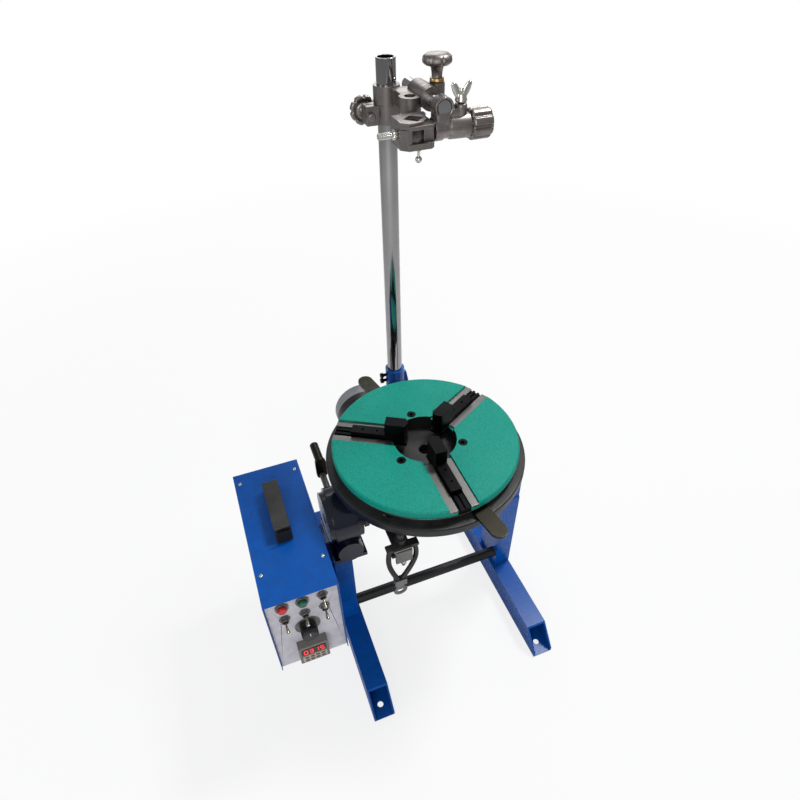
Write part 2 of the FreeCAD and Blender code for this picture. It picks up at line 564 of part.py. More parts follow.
def earth_brush():
    x, y = "brush_x", brush_y
    under = "(table_top - table_thick)"
    plate_z = "(yoke_top - yoke_thick - brush_plate_thick)"
    plate = block("brush_plate", "%s - yoke_deep/2 + 2*brush_plate_over" % ("0 - " + y),
                  "brush_plate_thick", x, "(%s - yoke_deep/2)/2" % y, plate_z)
    lip = block("brush_plate", "brush_plate_thick", "brush_lip", x,
                y + " - brush_plate_over + brush_plate_thick/2",
                plate_z + " + brush_plate_thick - brush_lip")
    hole = drum("brush_dia + 2*run_gap", "3*brush_plate_thick", x, y,
                plate_z + " - brush_plate_thick")
    node("brush_bracket", cut(fuse(plate, lip), hole))
    foot = "(" + plate_z + " - brush_below)"
    body = drum("brush_dia", "brush_long", x, y, foot)
    bore = drum("brush_dia - 2*brush_wall", "brush_long", x, y, foot + " + 2*brush_wall")
    ears = block("brush_ear_wide", "brush_ear_deep", "2*brush_wall", x, y, foot)
    bar = block("2*lead_spread + brush_bar_deep", "brush_bar_deep", "brush_bar_thick", x,
                y + " - lead_back", "yoke_top - yoke_thick")
    node("brush_holder", cut(fuse(body, ears, bar), bore))
    carbon_z = foot + " + 2*brush_wall + brush_spring"
    node("carbon_brush", drum("brush_dia - 2*brush_wall - 2*run_gap", "%s - seat_gap - %s"
                              % (under, "(" + carbon_z + ")"), x, y, carbon_z))

    # two pigtails that meet in the barrel of a ring lug
    for side, name in ((-1, "left"), (1, "right")):
        top_x = value("brush_x") + side * value("lead_spread")
        top_y = (value("brush_inset") - value("table_dia") / 2) - value("lead_back")
        lug_y = value("brush_inset") - value("table_dia") / 2 - value("lug_gap")
        low_x = value("lug_x") + side * (value("lead_dia") / 2 + value("run_gap"))
        start_z = value("yoke_top") - value("yoke_thick")
        fall = start_z - value("lug_top")
        route = [(top_x, top_y, start_z),
                 (top_x + side * 5, top_y - 2, start_z - 0.32 * fall),
                 ((top_x + low_x) / 2 + side * 6, (top_y + lug_y) / 2 - 3,
                  start_z - 0.68 * fall),
                 (low_x, lug_y, value("lug_top"))]
        node("brush_lead_" + name, lead("brush_lead_" + name, route))
    low = "(lug_top - 14)"
    lug_place = y + " - lug_gap"
    barrel = block("2*lead_dia + 3", "lead_dia + 2", "14", "lug_x", lug_place, low)
    neck = block("12", "2.5", "14", "lug_x", lug_place, low + " - 12")
    eye = drum("lug_eye", "2.5", "lug_x", lug_place + " - 1.25", low + " - 8 - lug_eye/2", "y")
    hole = drum("lug_hole", "12", "lug_x", lug_place + " - 6", low + " - 8 - lug_eye/2", "y")
    node("cable_lug", cut(fuse(barrel, neck, eye), hole))


def lead(name, route):
    """A round lead whose straight runs are joined by tangent arcs."""
    points = [FreeCAD.Vector(*place) for place in route]
    edges, last = [], points[0]
    for before, at, after in zip(points, points[1:], points[2:]):
        back, on = (before - at), (after - at)
        trim = 0.45 * min(back.Length, on.Length)
        start = at + back.normalize() * trim
        end = at + on.normalize() * trim
        turn = math.pi - back.getAngle(on)
        radius = trim / math.tan(turn / 2)
        print(name, "bend radius %.0f" % radius)
        inward = (back + on).normalize()
        middle = at + inward * (math.hypot(radius, trim) - radius)
        edges += [Part.LineSegment(last, start).toShape(), Part.Arc(start, middle, end).toShape()]
        last = end
    edges.append(Part.LineSegment(last, points[-1]).toShape())
    path = Part.Wire(edges)
    section = Part.Wire(Part.Circle(points[0], points[1] - points[0],
                                    value("lead_dia") / 2).toShape())
    made = doc.addObject("Part::Feature", name)
    made.Shape = path.makePipeShell([section], True, False)
    return made


def torch_arm():
    x, y = "column_x", "column_y"
    low = "(arm_z - collar_low)"
    mid = "(arm_z - collar_low + collar_tall)"
    rod_x = "arm_rod_x"
    bore = "column_dia + 2*run_gap"
    # lower collar: split clamp with two ears
    ring = drum("collar_dia", "collar_tall", x, y, low)
    ears = block("collar_ear_wide", "collar_ear_deep", "collar_tall",
                 x + " - collar_dia/2 - collar_ear_x", y, low)
    slit = block("34", "collar_slit", "2*collar_tall", x + " - 30", y, low + " - 5")
    pinch_x, pinch_z = x + " - collar_dia/2 - pinch_x", low + " + collar_tall/2"
    pinch = drum("clamp_screw + 2*run_gap", "60", pinch_x, y + " - 30", pinch_z, "y")
    node("column_collar", cut(fuse(ring, ears), drum(bore, "60", x, y, low + " - 5"),
                              slit, pinch))
    shaft = drum("clamp_screw", "44", pinch_x, y + " - 17", pinch_z, "y")
    head = drum("11", "6", pinch_x, y + " - 17.3", pinch_z, "y")
    wheel = drum("knob_dia", "9", pinch_x, y + " + collar_dia/2 + air_gap", pinch_z, "y")
    hub = drum("14", "collar_dia/2 - collar_ear_deep/2", pinch_x,
               y + " + collar_ear_deep/2 + seat_gap", pinch_z, "y")
    node("collar_knob", fuse(shaft, head, wheel, hub))

    # swivelling carriage: sleeve, rod barrel and the spare vertical socket
    top = "(arm_z + sleeve_above)"
    sleeve = drum("collar_dia", "%s - %s - seat_gap" % (top, mid), x, y, mid + " + seat_gap")
    web = block("web_wide", "web_deep", "web_tall", "(column_x + arm_rod_x)/2 + web_shift",
                y + " - web_back", "arm_z - web_drop")
    neck = block("neck_wide", "neck_deep", "web_tall", "column_x + neck_x", y + " - neck_back",
                 "arm_z - web_drop")
    barrel = drum("rod_barrel_dia", "rod_barrel_long", rod_x, "column_y - rod_barrel_front",
                  "arm_z", "y")
    spare_x, spare_y = rod_x + " - spare_x", "column_y - spare_back"
    socket = drum("spare_ring_dia", "spare_ring_tall", spare_x, spare_y, "arm_z - spare_drop")
    knob_x, knob_y = rod_x + " + knob_boss_x", "column_y - knob_boss_back"
    boss = drum("knob_boss_dia", "knob_boss_tall", knob_x, knob_y, "arm_z - knob_boss_drop")
    solid = fuse(sleeve, web, neck, barrel, socket, boss)
    node("arm_carriage", cut(
        solid, drum(bore, "2*collar_low", x, y, low),
        drum("arm_rod_dia + 2*run_gap", "rod_barrel_front + 2*arm_rod_dia", rod_x,
             "column_y - rod_barrel_front - arm_rod_dia", "arm_z", "y"),
        drum("spare_bore", "2*spare_ring_tall", spare_x, spare_y,
             "arm_z - spare_drop - spare_ring_tall/2"),
        drum("clamp_screw + 2*run_gap", "knob_boss_tall + clamp_screw", knob_x, knob_y,
             "arm_z - clamp_screw/2")))
    node("arm_rod", drum("arm_rod_dia", "arm_rod_back - arm_rod_front", rod_x,
                         "arm_rod_front", "arm_z", "y"))
    stem = fuse(drum("clamp_screw", "26", knob_x, knob_y, "arm_z - 2"),
                taper("knob_neck_dia", "knob_neck_end", "knob_neck_long", knob_x, knob_y,
                      "arm_z - knob_boss_drop + knob_boss_tall + seat_gap"),
                drum("knob_dia", "knob_thick", knob_x, knob_y, "arm_z + knob_rise"))
    node("rod_knob", stem)

    # cross block on the front of the rod, and the shank through it
    cx, cy = "(arm_rod_x + shank_boss_x)", "(arm_rod_front + cross_back)"
    shank_z = "(arm_z - shank_drop)"
    upper = block("cross_wide", "cross_deep", "cross_tall", rod_x + " + cross_shift", cy,
                  "arm_z - cross_tall/2")
    lower = block("shank_boss_wide", "cross_deep", "shank_boss_tall", cx, cy,
                  shank_z + " - shank_boss_low")
    wing_x = rod_x + " + wing_x"
    node("cross_block", cut(
        fuse(upper, lower),
        drum("arm_rod_dia + 2*run_gap", "2*cross_deep", rod_x, cy + " - cross_deep", "arm_z",
             "y"),
        drum("shank_dia + 2*run_gap", "2*cross_wide", "arm_rod_x - cross_wide/2", cy, shank_z,
             "x"),
        drum("clamp_screw + 2*run_gap", "cross_tall", wing_x, cy, "arm_z + 1")))
    wing = fuse(drum("clamp_screw", "22", wing_x, cy, "arm_z + 1"),
                drum("wing_hub", "wing_hub_tall", wing_x, cy, "arm_z + cross_tall/2 + seat_gap"),
                block("wing_wide", "wing_thick", "wing_tall", wing_x, cy, "arm_z + wing_rise"))
    node("wing_screw", wing)
    boss_end = cx + " + shank_boss_wide/2"
    shank = drum("shank_dia", boss_end + " + shank_in_wheel - arm_rod_x + torch_side",
                 "arm_rod_x - torch_side", cy, shank_z, "x")
    cap = drum("knob_dia", "shank_wheel", boss_end + " + seat_gap", cy, shank_z, "x")
    node("torch_shank", fuse(shank, cap))

    # torch block: open-fronted clamp with a diamond hole and a sliding jaw
    bx = "(arm_rod_x - torch_side - torch_wide/2)"
    body = block("torch_wide", "torch_deep", "torch_tall", bx, cy, shank_z + " - torch_tall/2")
    diamond = doc.addObject("Part::Box", "diamond")
    for side, size in (("Length", "torch_hole"), ("Width", "torch_hole")):
        bind(diamond, side, size)
    bind(diamond, "Height", "2*torch_tall")
    diamond.Placement.Rotation = FreeCAD.Rotation(FreeCAD.Vector(0, 0, 1), 45)
    put(diamond, bx, cy + " - torch_hole*0.7071", shank_z + " - torch_tall")
    window = block("torch_wide*0.4", "torch_deep", "torch_tall*0.4", bx,
                   cy + " - torch_deep/2", shank_z + " - torch_tall*0.2")
    screw_hole = drum("torch_screw_dia + 2*run_gap", "torch_wide/2 + 8", bx + " - torch_wide", cy,
                      shank_z, "x")
    wall = "(" + bx + " - torch_wide/2 + torch_wall)"
    pocket = block(bx + " - " + wall, "jaw_pad_wide + 2*air_gap", "jaw_pad_tall + 2*air_gap",
                   "(%s + %s)/2" % (bx, wall), cy, shank_z + " - jaw_pad_tall/2 - air_gap")
    node("torch_block", cut(body, diamond, window, pocket, screw_hole))
    side = bx + " - torch_wide/2"
    node("torch_jaw_screw", fuse(
        drum("torch_screw_dia", "torch_screw_out + torch_wall + 1 - seat_gap",
             side + " - torch_screw_out", cy, shank_z, "x"),
        drum("torch_nut_dia", "torch_nut_thick", side + " - torch_nut_thick - seat_gap", cy,
             shank_z, "x"),
        drum("torch_bar_dia", "torch_bar_long", side + " - torch_bar_out", cy,
             shank_z + " - torch_bar_long/2")))
    pad_start = "(" + wall + " + 1 + seat_gap)"
    node("torch_jaw", block("jaw_pad_thick", "jaw_pad_wide", "jaw_pad_tall",
                            pad_start + " + jaw_pad_thick/2", cy,
                            shank_z + " - jaw_pad_tall/2"))


def control_box():
    x, y = "box_x", "box_y"
    front = "(box_y - box_deep/2)"
    back = "(box_y + box_deep/2)"
    face = "(box_y - box_deep/2 + panel_recess)"
    top = "(box_base + box_tall)"
    inner = "box_wide - 2*sheet_metal"
    button_z, switch_z, dial_z = (
        "(box_base + box_tall - %s_drop)" % row for row in ("button", "switch", "dial"))
    timer_z = "(box_base + timer_up)"

    # folded cover: top and two sides, open at the front, the back and below
    shell = block("box_wide", "box_deep", "box_tall", x, y, "box_base")
    hollow = block(inner, "box_deep + 2", "box_tall - sheet_metal", x, y, "box_base - 0.01")
    node("box_cover", cut(shell, hollow))

    # chassis: front wall, base and back wall folded from one sheet
    wall_low = "box_base + seat_gap"
    wall_tall = "box_tall - sheet_metal - 3*seat_gap"
    fit = inner + " - 2*seat_gap"
    begin = "(%s + 2*sheet_metal)" % face
    base = block(fit, "%s - %s - sheet_metal" % (back, face), "sheet_metal", x,
                 "(%s + %s + sheet_metal)/2" % (back, face), wall_low)
    rear = block(fit, "sheet_metal", wall_tall, x, back + " - sheet_metal/2", wall_low)
    fore = block(fit, "sheet_metal", wall_tall, x, face + " + 1.5*sheet_metal", wall_low)
    plate = block(fit, "sheet_metal", wall_tall, x, face + " + 0.5*sheet_metal", wall_low)
    left, right = "box_x - panel_pitch", "box_x + panel_pitch"

    def panel_holes():
        through = "4*sheet_metal"
        start = face + " - sheet_metal"
        made = [drum("button_dia + 2*run_gap", through, at, start, button_z, "y")
                for at in (left, x)]
        made += [drum("bush_dia + 2*run_gap", through, at, start, z, "y")
                 for at, z in switches]
        made.append(drum("speed_shaft + 2*run_gap", through, x, start, dial_z, "y"))
        made.append(block("timer_body + 2*air_gap", through, "timer_body + 2*air_gap", x,
                          face, timer_z + " - timer_body/2 - air_gap"))
        return made

    switches = [(left, switch_z), (x, switch_z), (right, switch_z),
                (right, button_z)]
    node("box_chassis", cut(fuse(base, rear, fore), *panel_holes()))
    node("front_panel", cut(plate, *panel_holes()))

    # bezels, nuts, bushes and the dial ring that stay on the panel
    fittings = []
    for at in (left, x):
        fittings.append(cut(drum("bezel_dia", "bezel_thick", at, face + " - bezel_thick",
                                 button_z, "y"),
                            drum("button_dia + 2*run_gap", "2*bezel_thick", at,
                                 face + " - 1.5*bezel_thick", button_z, "y")))
    for at, z in switches:
        bush = drum("bush_dia", "bush_reach + 2*sheet_metal + bush_deep", at, face + " - bush_reach",
                    z, "y")
        nut = prism("nut_size", "nut_thick", at, face + " - nut_thick", z)
        bore = drum("bush_bore", "2*bush_reach + 2*sheet_metal + bush_deep", at,
                    face + " - 1.25*bush_reach", z, "y")
        fittings.append(cut(fuse(bush, nut), bore))
    fittings.append(cut(drum("dial_dia", "dial_thick", x, face + " - dial_thick", dial_z, "y"),
                        drum("speed_shaft + 2*air_gap", "3*dial_thick", x,
                             face + " - 2*dial_thick", dial_z, "y")))
    node("panel_fittings", group(*fittings))

    for name, at in (("stop_button", left), ("start_button", x)):
        stem = drum("button_dia", "button_rise + 2*sheet_metal + 8", at,
                    face + " - button_rise", button_z, "y")
        crown = value("box_y") - value("box_deep") / 2 + value("panel_recess") \
            - value("button_rise")
        node(name, rounded(stem, 2, lambda middle, edge: abs(middle.y - crown) < 0.01))

    for i, (at, z) in enumerate(switches):
        ball = doc.addObject("Part::Sphere", "ball")
        bind(ball, "Radius", "bush_bore/2 - run_gap")
        stick = drum("3", "lever_long*0.5", 0, 0, 0, "y")
        stick.Placement.Rotation = FreeCAD.Rotation(FreeCAD.Vector(1, 0, 0), 90)
        tip = taper("3", "5.4", "lever_long*0.6")
        tip.Placement.Rotation = FreeCAD.Rotation(FreeCAD.Vector(1, 0, 0), 90)
        bind(tip, "Placement.Base.y", "-lever_long*0.5")
        lever_piece = fuse(ball, stick, tip)
        lever_piece.Placement.Rotation = FreeCAD.Rotation(
            FreeCAD.Vector(1, 0, 0), value("lever_tilt"))
        put(lever_piece, at, face + " - 2", z)
        node("toggle_lever_%d" % (i + 1), lever_piece)

    skirt = drum("speed_knob_dia", "speed_skirt", x,
                 face + " - dial_thick - air_gap - speed_skirt", dial_z, "y")
    grip = drum("speed_knob_dia*0.8", "speed_knob_rise - speed_skirt", x,
                face + " - dial_thick - air_gap - speed_knob_rise", dial_z, "y")
    shaft = drum("speed_shaft", "12 + 2*sheet_metal", x, face + " - 4", dial_z, "y")
    node("speed_knob", fuse(skirt, grip, shaft))

    bezel = block("timer_size", "timer_rise", "timer_size", x, face + " - timer_rise/2",
                  timer_z + " - timer_size/2")
    body = block("timer_body", "timer_back", "timer_body", x, face + " + timer_back/2",
                 timer_z + " - timer_body/2")
    node("timer_module", fuse(bezel, body))

    # carry handle across the lid
    half = "grip_long/2"
    arch = padded("grip_arch", "YZ", [
        ("grip_y - " + half, top), ("grip_y - %s + 8" % half, top + " + grip_rise"),
        ("grip_y + %s - 8" % half, top + " + grip_rise"), ("grip_y + " + half, top),
        ("grip_y + %s - 22" % half, top),
        ("grip_y + %s - 24" % half, top + " + grip_rise - grip_thick"),
        ("grip_y - %s + 24" % half, top + " + grip_rise - grip_thick"),
        ("grip_y - %s + 22" % half, top)], "grip_wide", x)
    node("carry_handle", arch)


def prism(across, thick, x, y, z):
    """A hexagon nut whose flat to flat size is across, facing the front."""
    made = doc.addObject("Part::Prism", "prism")
    made.Polygon = 6
    bind(made, "Circumradius", "(%s)/2/cos(30)" % across)
    bind(made, "Height", thick)
    made.Placement.Rotation = turns["y"]
    return put(made, x, y, z)


for unit in (frame, column, tilt_unit, table_drive, turntable, chuck, earth_brush,
             torch_arm, control_box):
    unit()
doc.recompute()

os.makedirs("parts", exist_ok=True)
for thing in doc.Objects:
    if "Invalid" in thing.State or "Error" in thing.State:
        raise RuntimeError("failed feature: %s %s" % (thing.Name, thing.State))
for label, piece in nodes.items():
    if piece.Shape.isNull() or not piece.Shape.isValid():
        raise RuntimeError("bad shape: " + label)
for label, piece in nodes.items():
    piece.Label = label
    piece.Shape.exportStep("parts/%s.step" % label)
print(len(nodes), "parts written")
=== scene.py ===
import json
import math
import bpy
import bmesh
import numpy as np
from mathutils.geometry import tessellate_polygon
from mathutils import Matrix, Vector


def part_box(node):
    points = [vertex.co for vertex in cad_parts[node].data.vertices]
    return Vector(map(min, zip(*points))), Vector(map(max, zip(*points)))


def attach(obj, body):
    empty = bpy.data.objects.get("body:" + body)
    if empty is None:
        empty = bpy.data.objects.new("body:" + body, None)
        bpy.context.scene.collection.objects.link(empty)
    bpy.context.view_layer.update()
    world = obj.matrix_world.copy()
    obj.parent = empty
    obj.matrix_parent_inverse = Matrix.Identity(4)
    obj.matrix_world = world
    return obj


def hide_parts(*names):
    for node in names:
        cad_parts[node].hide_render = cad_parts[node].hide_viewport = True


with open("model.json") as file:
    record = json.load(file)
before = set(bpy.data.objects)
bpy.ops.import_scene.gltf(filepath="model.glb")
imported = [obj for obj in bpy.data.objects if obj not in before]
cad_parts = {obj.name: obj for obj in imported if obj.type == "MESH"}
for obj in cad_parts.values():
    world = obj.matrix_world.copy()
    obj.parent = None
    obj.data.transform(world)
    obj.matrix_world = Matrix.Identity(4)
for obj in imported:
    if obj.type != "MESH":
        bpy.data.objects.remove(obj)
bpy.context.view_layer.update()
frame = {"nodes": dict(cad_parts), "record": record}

# Bench welding positioner: table with a scroll chuck, control box, column and torch clamp.
# Metres. X runs along the tilt shaft, Z is up, the table turns about the Z axis.

nodes = frame["nodes"]
slotOf = {row["node"]: row["material_slot"] for row in frame["record"]["subparts"]}
bodyOf = {node: body for body, members in frame["record"]["behaviour"]["bodies"].items()
          for node in members}
pi = math.pi


def newGroup(name, inputs, outputs):
    tree = bpy.data.node_groups.new(name, "ShaderNodeTree")
    for label, kind, value in inputs:
        socket = tree.interface.new_socket(label, in_out="INPUT", socket_type="NodeSocket" + kind)
        socket.default_value = value
    for label, kind in outputs:
        tree.interface.new_socket(label, in_out="OUTPUT", socket_type="NodeSocket" + kind)
    return tree, tree.nodes.new("NodeGroupInput"), tree.nodes.new("NodeGroupOutput")


def add(tree, kind, inputs=None, **settings):
    node = tree.nodes.new("ShaderNode" + kind)
    for key, value in settings.items():
        setattr(node, key, value)
    for key, value in (inputs or {}).items():
        if isinstance(value, bpy.types.NodeSocket):
            tree.links.new(value, node.inputs[key])
        else:
            node.inputs[key].default_value = value
    return node


def calc(tree, operation, first, second=0.5, clamp=False):
    node = add(tree, "Math", {0: first, 1: second}, operation=operation, use_clamp=clamp)
    return node.outputs[0]


def ramp(tree, value, low, high, start=0.0, end=1.0):
    return add(tree, "MapRange", {"Value": value, "From Min": low, "From Max": high,
                                  "To Min": start, "To Max": end}).outputs["Result"]


def noise(tree, where, scale, detail=3.0, rough=0.55):
    return add(tree, "TexNoise", {"Vector": where, "Scale": scale, "Detail": detail,
                                  "Roughness": rough}).outputs["Fac"]


def makeGrain():
    # fine bumps from noise at one scale, and a soft mask from noise at a tenth of it
    tree, inlet, outlet = newGroup(
        "grain", [("Scale", "Float", 400.0), ("Spread", "Float", 0.3)],
        [("Height", "Float"), ("Mask", "Float")])
    where = add(tree, "TexCoord").outputs["Object"]
    fine = noise(tree, where, inlet.outputs["Scale"], 4.0)
    broad = noise(tree, where, calc(tree, "MULTIPLY", inlet.outputs["Scale"], 0.06), 5.0, 0.62)
    low = calc(tree, "SUBTRACT", 0.5, inlet.outputs["Spread"])
    high = calc(tree, "ADD", 0.5, inlet.outputs["Spread"])
    tree.links.new(fine, outlet.inputs["Height"])
    tree.links.new(ramp(tree, broad, low, high), outlet.inputs["Mask"])
    return tree


def makeEdgeWear():
    # bright where the rounded normal leaves the true one, broken up by noise
    tree, inlet, outlet = newGroup(
        "edgeWear", [("Reach", "Float", 0.001), ("Amount", "Float", 0.5)],
        [("Mask", "Float")])
    where = add(tree, "TexCoord").outputs["Object"]
    soft = add(tree, "Bevel", {"Radius": inlet.outputs["Reach"]}, samples=4).outputs["Normal"]
    true = add(tree, "NewGeometry").outputs["True Normal"]
    same = add(tree, "VectorMath", {0: soft, 1: true}, operation="DOT_PRODUCT").outputs["Value"]
    edge = ramp(tree, same, 0.995, 0.80)
    broken = ramp(tree, noise(tree, where, 260.0, 5.0, 0.7), 0.42, 0.62)
    mask = calc(tree, "MULTIPLY", edge, broken)
    tree.links.new(calc(tree, "MULTIPLY", mask, inlet.outputs["Amount"], True),
                   outlet.inputs["Mask"])
    return tree


def makeDust():
    # settles on faces that look up, thicker where broad noise is high
    tree, inlet, outlet = newGroup("dust", [("Amount", "Float", 0.3)], [("Mask", "Float")])
    where = add(tree, "TexCoord").outputs["Object"]
    up = add(tree, "SeparateXYZ", {0: add(tree, "NewGeometry").outputs["Normal"]}).outputs["Z"]
    patch = ramp(tree, noise(tree, where, 26.0, 6.0, 0.65), 0.35, 0.75)
    speck = ramp(tree, noise(tree, where, 900.0, 2.0), 0.45, 0.75)
    both = calc(tree, "ADD", patch, calc(tree, "MULTIPLY", speck, 0.5))
    mask = calc(tree, "MULTIPLY", calc(tree, "MULTIPLY", both, ramp(tree, up, 0.2, 1.0)),
                inlet.outputs["Amount"], True)
    tree.links.new(mask, outlet.inputs["Mask"])
    return tree


def makeHammer():
    # hammered paint: rounded cells with dark rims
    tree, inlet, outlet = newGroup("hammer", [("Scale", "Float", 300.0)],
                                   [("Height", "Float"), ("Rim", "Float")])
    where = add(tree, "TexCoord").outputs["Object"]
    sway = add(tree, "TexNoise", {"Vector": where, "Scale": 120.0, "Detail": 2.0})
    bent = add(tree, "VectorMath", {0: sway.outputs["Color"], 1: (0.004, 0.004, 0.004)},
               operation="MULTIPLY").outputs[0]
    spot = add(tree, "VectorMath", {0: where, 1: bent}, operation="ADD").outputs[0]
    cells = add(tree, "TexVoronoi", {"Vector": spot, "Scale": inlet.outputs["Scale"],
                                     "Smoothness": 0.6}, feature="SMOOTH_F1")
    tree.links.new(cells.outputs["Distance"], outlet.inputs["Height"])
    tree.links.new(ramp(tree, cells.outputs["Distance"], 0.35, 0.75), outlet.inputs["Rim"])
    return tree


def makeScratches():
    # long thin lines, noise stretched sixty to one in two directions
    tree, inlet, outlet = newGroup(
        "scratches", [("Scale", "Float", 900.0), ("Turn", "Float", 0.0)], [("Mask", "Float")])
    where = add(tree, "TexCoord").outputs["Object"]
    spin = add(tree, "CombineXYZ", {"Z": inlet.outputs["Turn"]}).outputs[0]
    turned = add(tree, "Mapping", {"Vector": where, "Rotation": spin,
                                   "Scale": (1.0, 0.016, 0.4)}).outputs[0]
    lines = noise(tree, turned, inlet.outputs["Scale"], 3.0, 0.6)
    tree.links.new(ramp(tree, lines, 0.56, 0.72), outlet.inputs["Mask"])
    return tree


groups = {"grain": makeGrain(), "edgeWear": makeEdgeWear(), "dust": makeDust(),
          "hammer": makeHammer(), "scratches": makeScratches()}


def place(tree, name, **values):
    node = tree.nodes.new("ShaderNodeGroup")
    node.node_tree = groups[name]
    for key, value in values.items():
        node.inputs[key].default_value = value
    return node


def mix(tree, mask, first, second):
    node = add(tree, "Mix", data_type="RGBA")
    tree.links.new(mask, node.inputs["Factor"])
    for socket, value in ((node.inputs[6], first), (node.inputs[7], second)):
        if isinstance(value, bpy.types.NodeSocket):
            tree.links.new(value, socket)
        else:
            socket.default_value = (*value, 1.0)
    return node.outputs[2]


def newMaterial(name, look):
    material = bpy.data.materials.new(name)
    material.use_nodes = True
    tree = material.node_tree
    shader = tree.nodes["Principled BSDF"]
    shader.inputs["Metallic"].default_value = look.get("metal", 0.0)
    shader.inputs["Roughness"].default_value = look["rough"]
    shader.inputs["Coat Weight"].default_value = look.get("coat", 0.0)
    shader.inputs["Coat Roughness"].default_value = 0.1
    shader.inputs["Specular IOR Level"].default_value = look.get("gloss", 0.5)
    return material, tree, shader


def bump(tree, shader, height, strength, reach):
    node = add(tree, "Bump", {"Height": height, "Strength": strength, "Distance": reach})
    tree.links.new(node.outputs[0], shader.inputs["Normal"])
    return node


def painted(name, look):
    # paint over steel: orange peel, worn edges, dust on top
    material, tree, shader = newMaterial(name, look)
    skin = place(tree, "grain", Scale=look["peel"], Spread=0.25)
    wear = place(tree, "edgeWear", Reach=0.0012, Amount=look["wear"])
    dust = place(tree, "dust", Amount=look["dust"])
    deep = tuple(c * 0.72 for c in look["colour"])
    colour = mix(tree, skin.outputs["Mask"], look["colour"], deep)
    colour = mix(tree, dust.outputs["Mask"], colour, look.get("dustColour", (0.42, 0.41, 0.40)))
    colour = mix(tree, wear.outputs["Mask"], colour, look.get("under", (0.30, 0.29, 0.28)))
    tree.links.new(colour, shader.inputs["Base Color"])
    base = ramp(tree, skin.outputs["Mask"], 0.0, 1.0, look["rough"] * 0.85, look["rough"] * 1.25)
    dusty = calc(tree, "ADD", base, calc(tree, "MULTIPLY", dust.outputs["Mask"], 0.5), True)
    tree.links.new(dusty, shader.inputs["Roughness"])
    bump(tree, shader, skin.outputs["Height"], look["bump"], 0.0002)
    return material


def bareMetal(name, look):
    # turned, ground or cast metal with scratches and stains
    material, tree, shader = newMaterial(name, dict(look, metal=1.0))
    skin = place(tree, "grain", Scale=look["grain"], Spread=0.3)
    marks = place(tree, "scratches", Scale=900.0, Turn=0.5)
    wear = place(tree, "edgeWear", Reach=0.0012, Amount=look.get("wear", 0.4))
    stained = mix(tree, skin.outputs["Mask"], look["colour"], look["stain"])
    bright = tuple(min(1.0, c * 1.4 + 0.03) for c in look["colour"])
    colour = mix(tree, wear.outputs["Mask"], stained, bright)
    tree.links.new(colour, shader.inputs["Base Color"])
    rough = ramp(tree, skin.outputs["Mask"], 0.0, 1.0, look["rough"] * 0.7, look["rough"] * 1.4)
    rough = calc(tree, "ADD", rough, calc(tree, "MULTIPLY", marks.outputs["Mask"], 0.12), True)
    tree.links.new(rough, shader.inputs["Roughness"])
    both = calc(tree, "SUBTRACT", skin.outputs["Height"],
                calc(tree, "MULTIPLY", marks.outputs["Mask"], look.get("cutDeep", 0.4)))
    bump(tree, shader, both, look["bump"], 0.0003)
    return material


def moulded(name, look):
    # moulded plastic or rubber: fine spark texture, rubbed edges, a little dust
    material, tree, shader = newMaterial(name, look)
    skin = place(tree, "grain", Scale=look["grain"], Spread=0.3)
    dust = place(tree, "dust", Amount=look.get("dust", 0.15))
    wear = place(tree, "edgeWear", Reach=0.0008, Amount=look.get("wear", 0.25))
    pale = tuple(min(1.0, c * 1.4 + 0.03) for c in look["colour"])
    colour = mix(tree, skin.outputs["Mask"], look["colour"], tuple(c * 0.8 for c in look["colour"]))
    colour = mix(tree, wear.outputs["Mask"], colour, pale)
    colour = mix(tree, dust.outputs["Mask"], colour, (0.40, 0.39, 0.37))
    tree.links.new(colour, shader.inputs["Base Color"])
    rough = ramp(tree, skin.outputs["Mask"], 0.0, 1.0, look["rough"] * 0.85, look["rough"] * 1.2)
    tree.links.new(rough, shader.inputs["Roughness"])
    bump(tree, shader, skin.outputs["Height"], look["bump"], 0.0002)
    return material


def boreShadeMask(tree, radius):
    # one where the distance from the upright axis is under radius, the mask for the painted shade
    # inside the chuck's bore
    where = add(tree, "TexCoord").outputs["Object"]
    flat = add(tree, "VectorMath", {0: where, 1: (1.0, 1.0, 0.0)}, operation="MULTIPLY")
    away = add(tree, "VectorMath", {0: flat.outputs[0]}, operation="LENGTH")
    return calc(tree, "LESS_THAN", away.outputs["Value"], radius)


def hammered(name, look):
    # green hammered paint on the chuck: glossy cells, dark rims, grime in the dips, and a near
    # black painted shade inside the bore
    material, tree, shader = newMaterial(name, look)
    cells = place(tree, "hammer", Scale=look["cells"])
    dirt = place(tree, "grain", Scale=180.0, Spread=0.22)
    wear = place(tree, "edgeWear", Reach=0.0016, Amount=0.7)
    colour = mix(tree, cells.outputs["Rim"], look["colour"], look["rim"])
    colour = mix(tree, calc(tree, "MULTIPLY", dirt.outputs["Mask"], look["grime"]), colour,
                 look["dirt"])
    colour = mix(tree, wear.outputs["Mask"], colour, (0.06, 0.10, 0.09))
    # painted shade: everything inside the bore radius is coloured near black
    colour = mix(tree, boreShadeMask(tree, look["bore"]), colour, (0.008, 0.009, 0.009))
    tree.links.new(colour, shader.inputs["Base Color"])
    rough = ramp(tree, dirt.outputs["Mask"], 0.0, 1.0, look["rough"], look["rough"] + 0.22)
    tree.links.new(rough, shader.inputs["Roughness"])
    bump(tree, shader, calc(tree, "MULTIPLY", cells.outputs["Height"], -1.0), look["bump"], 0.0009)
    return material


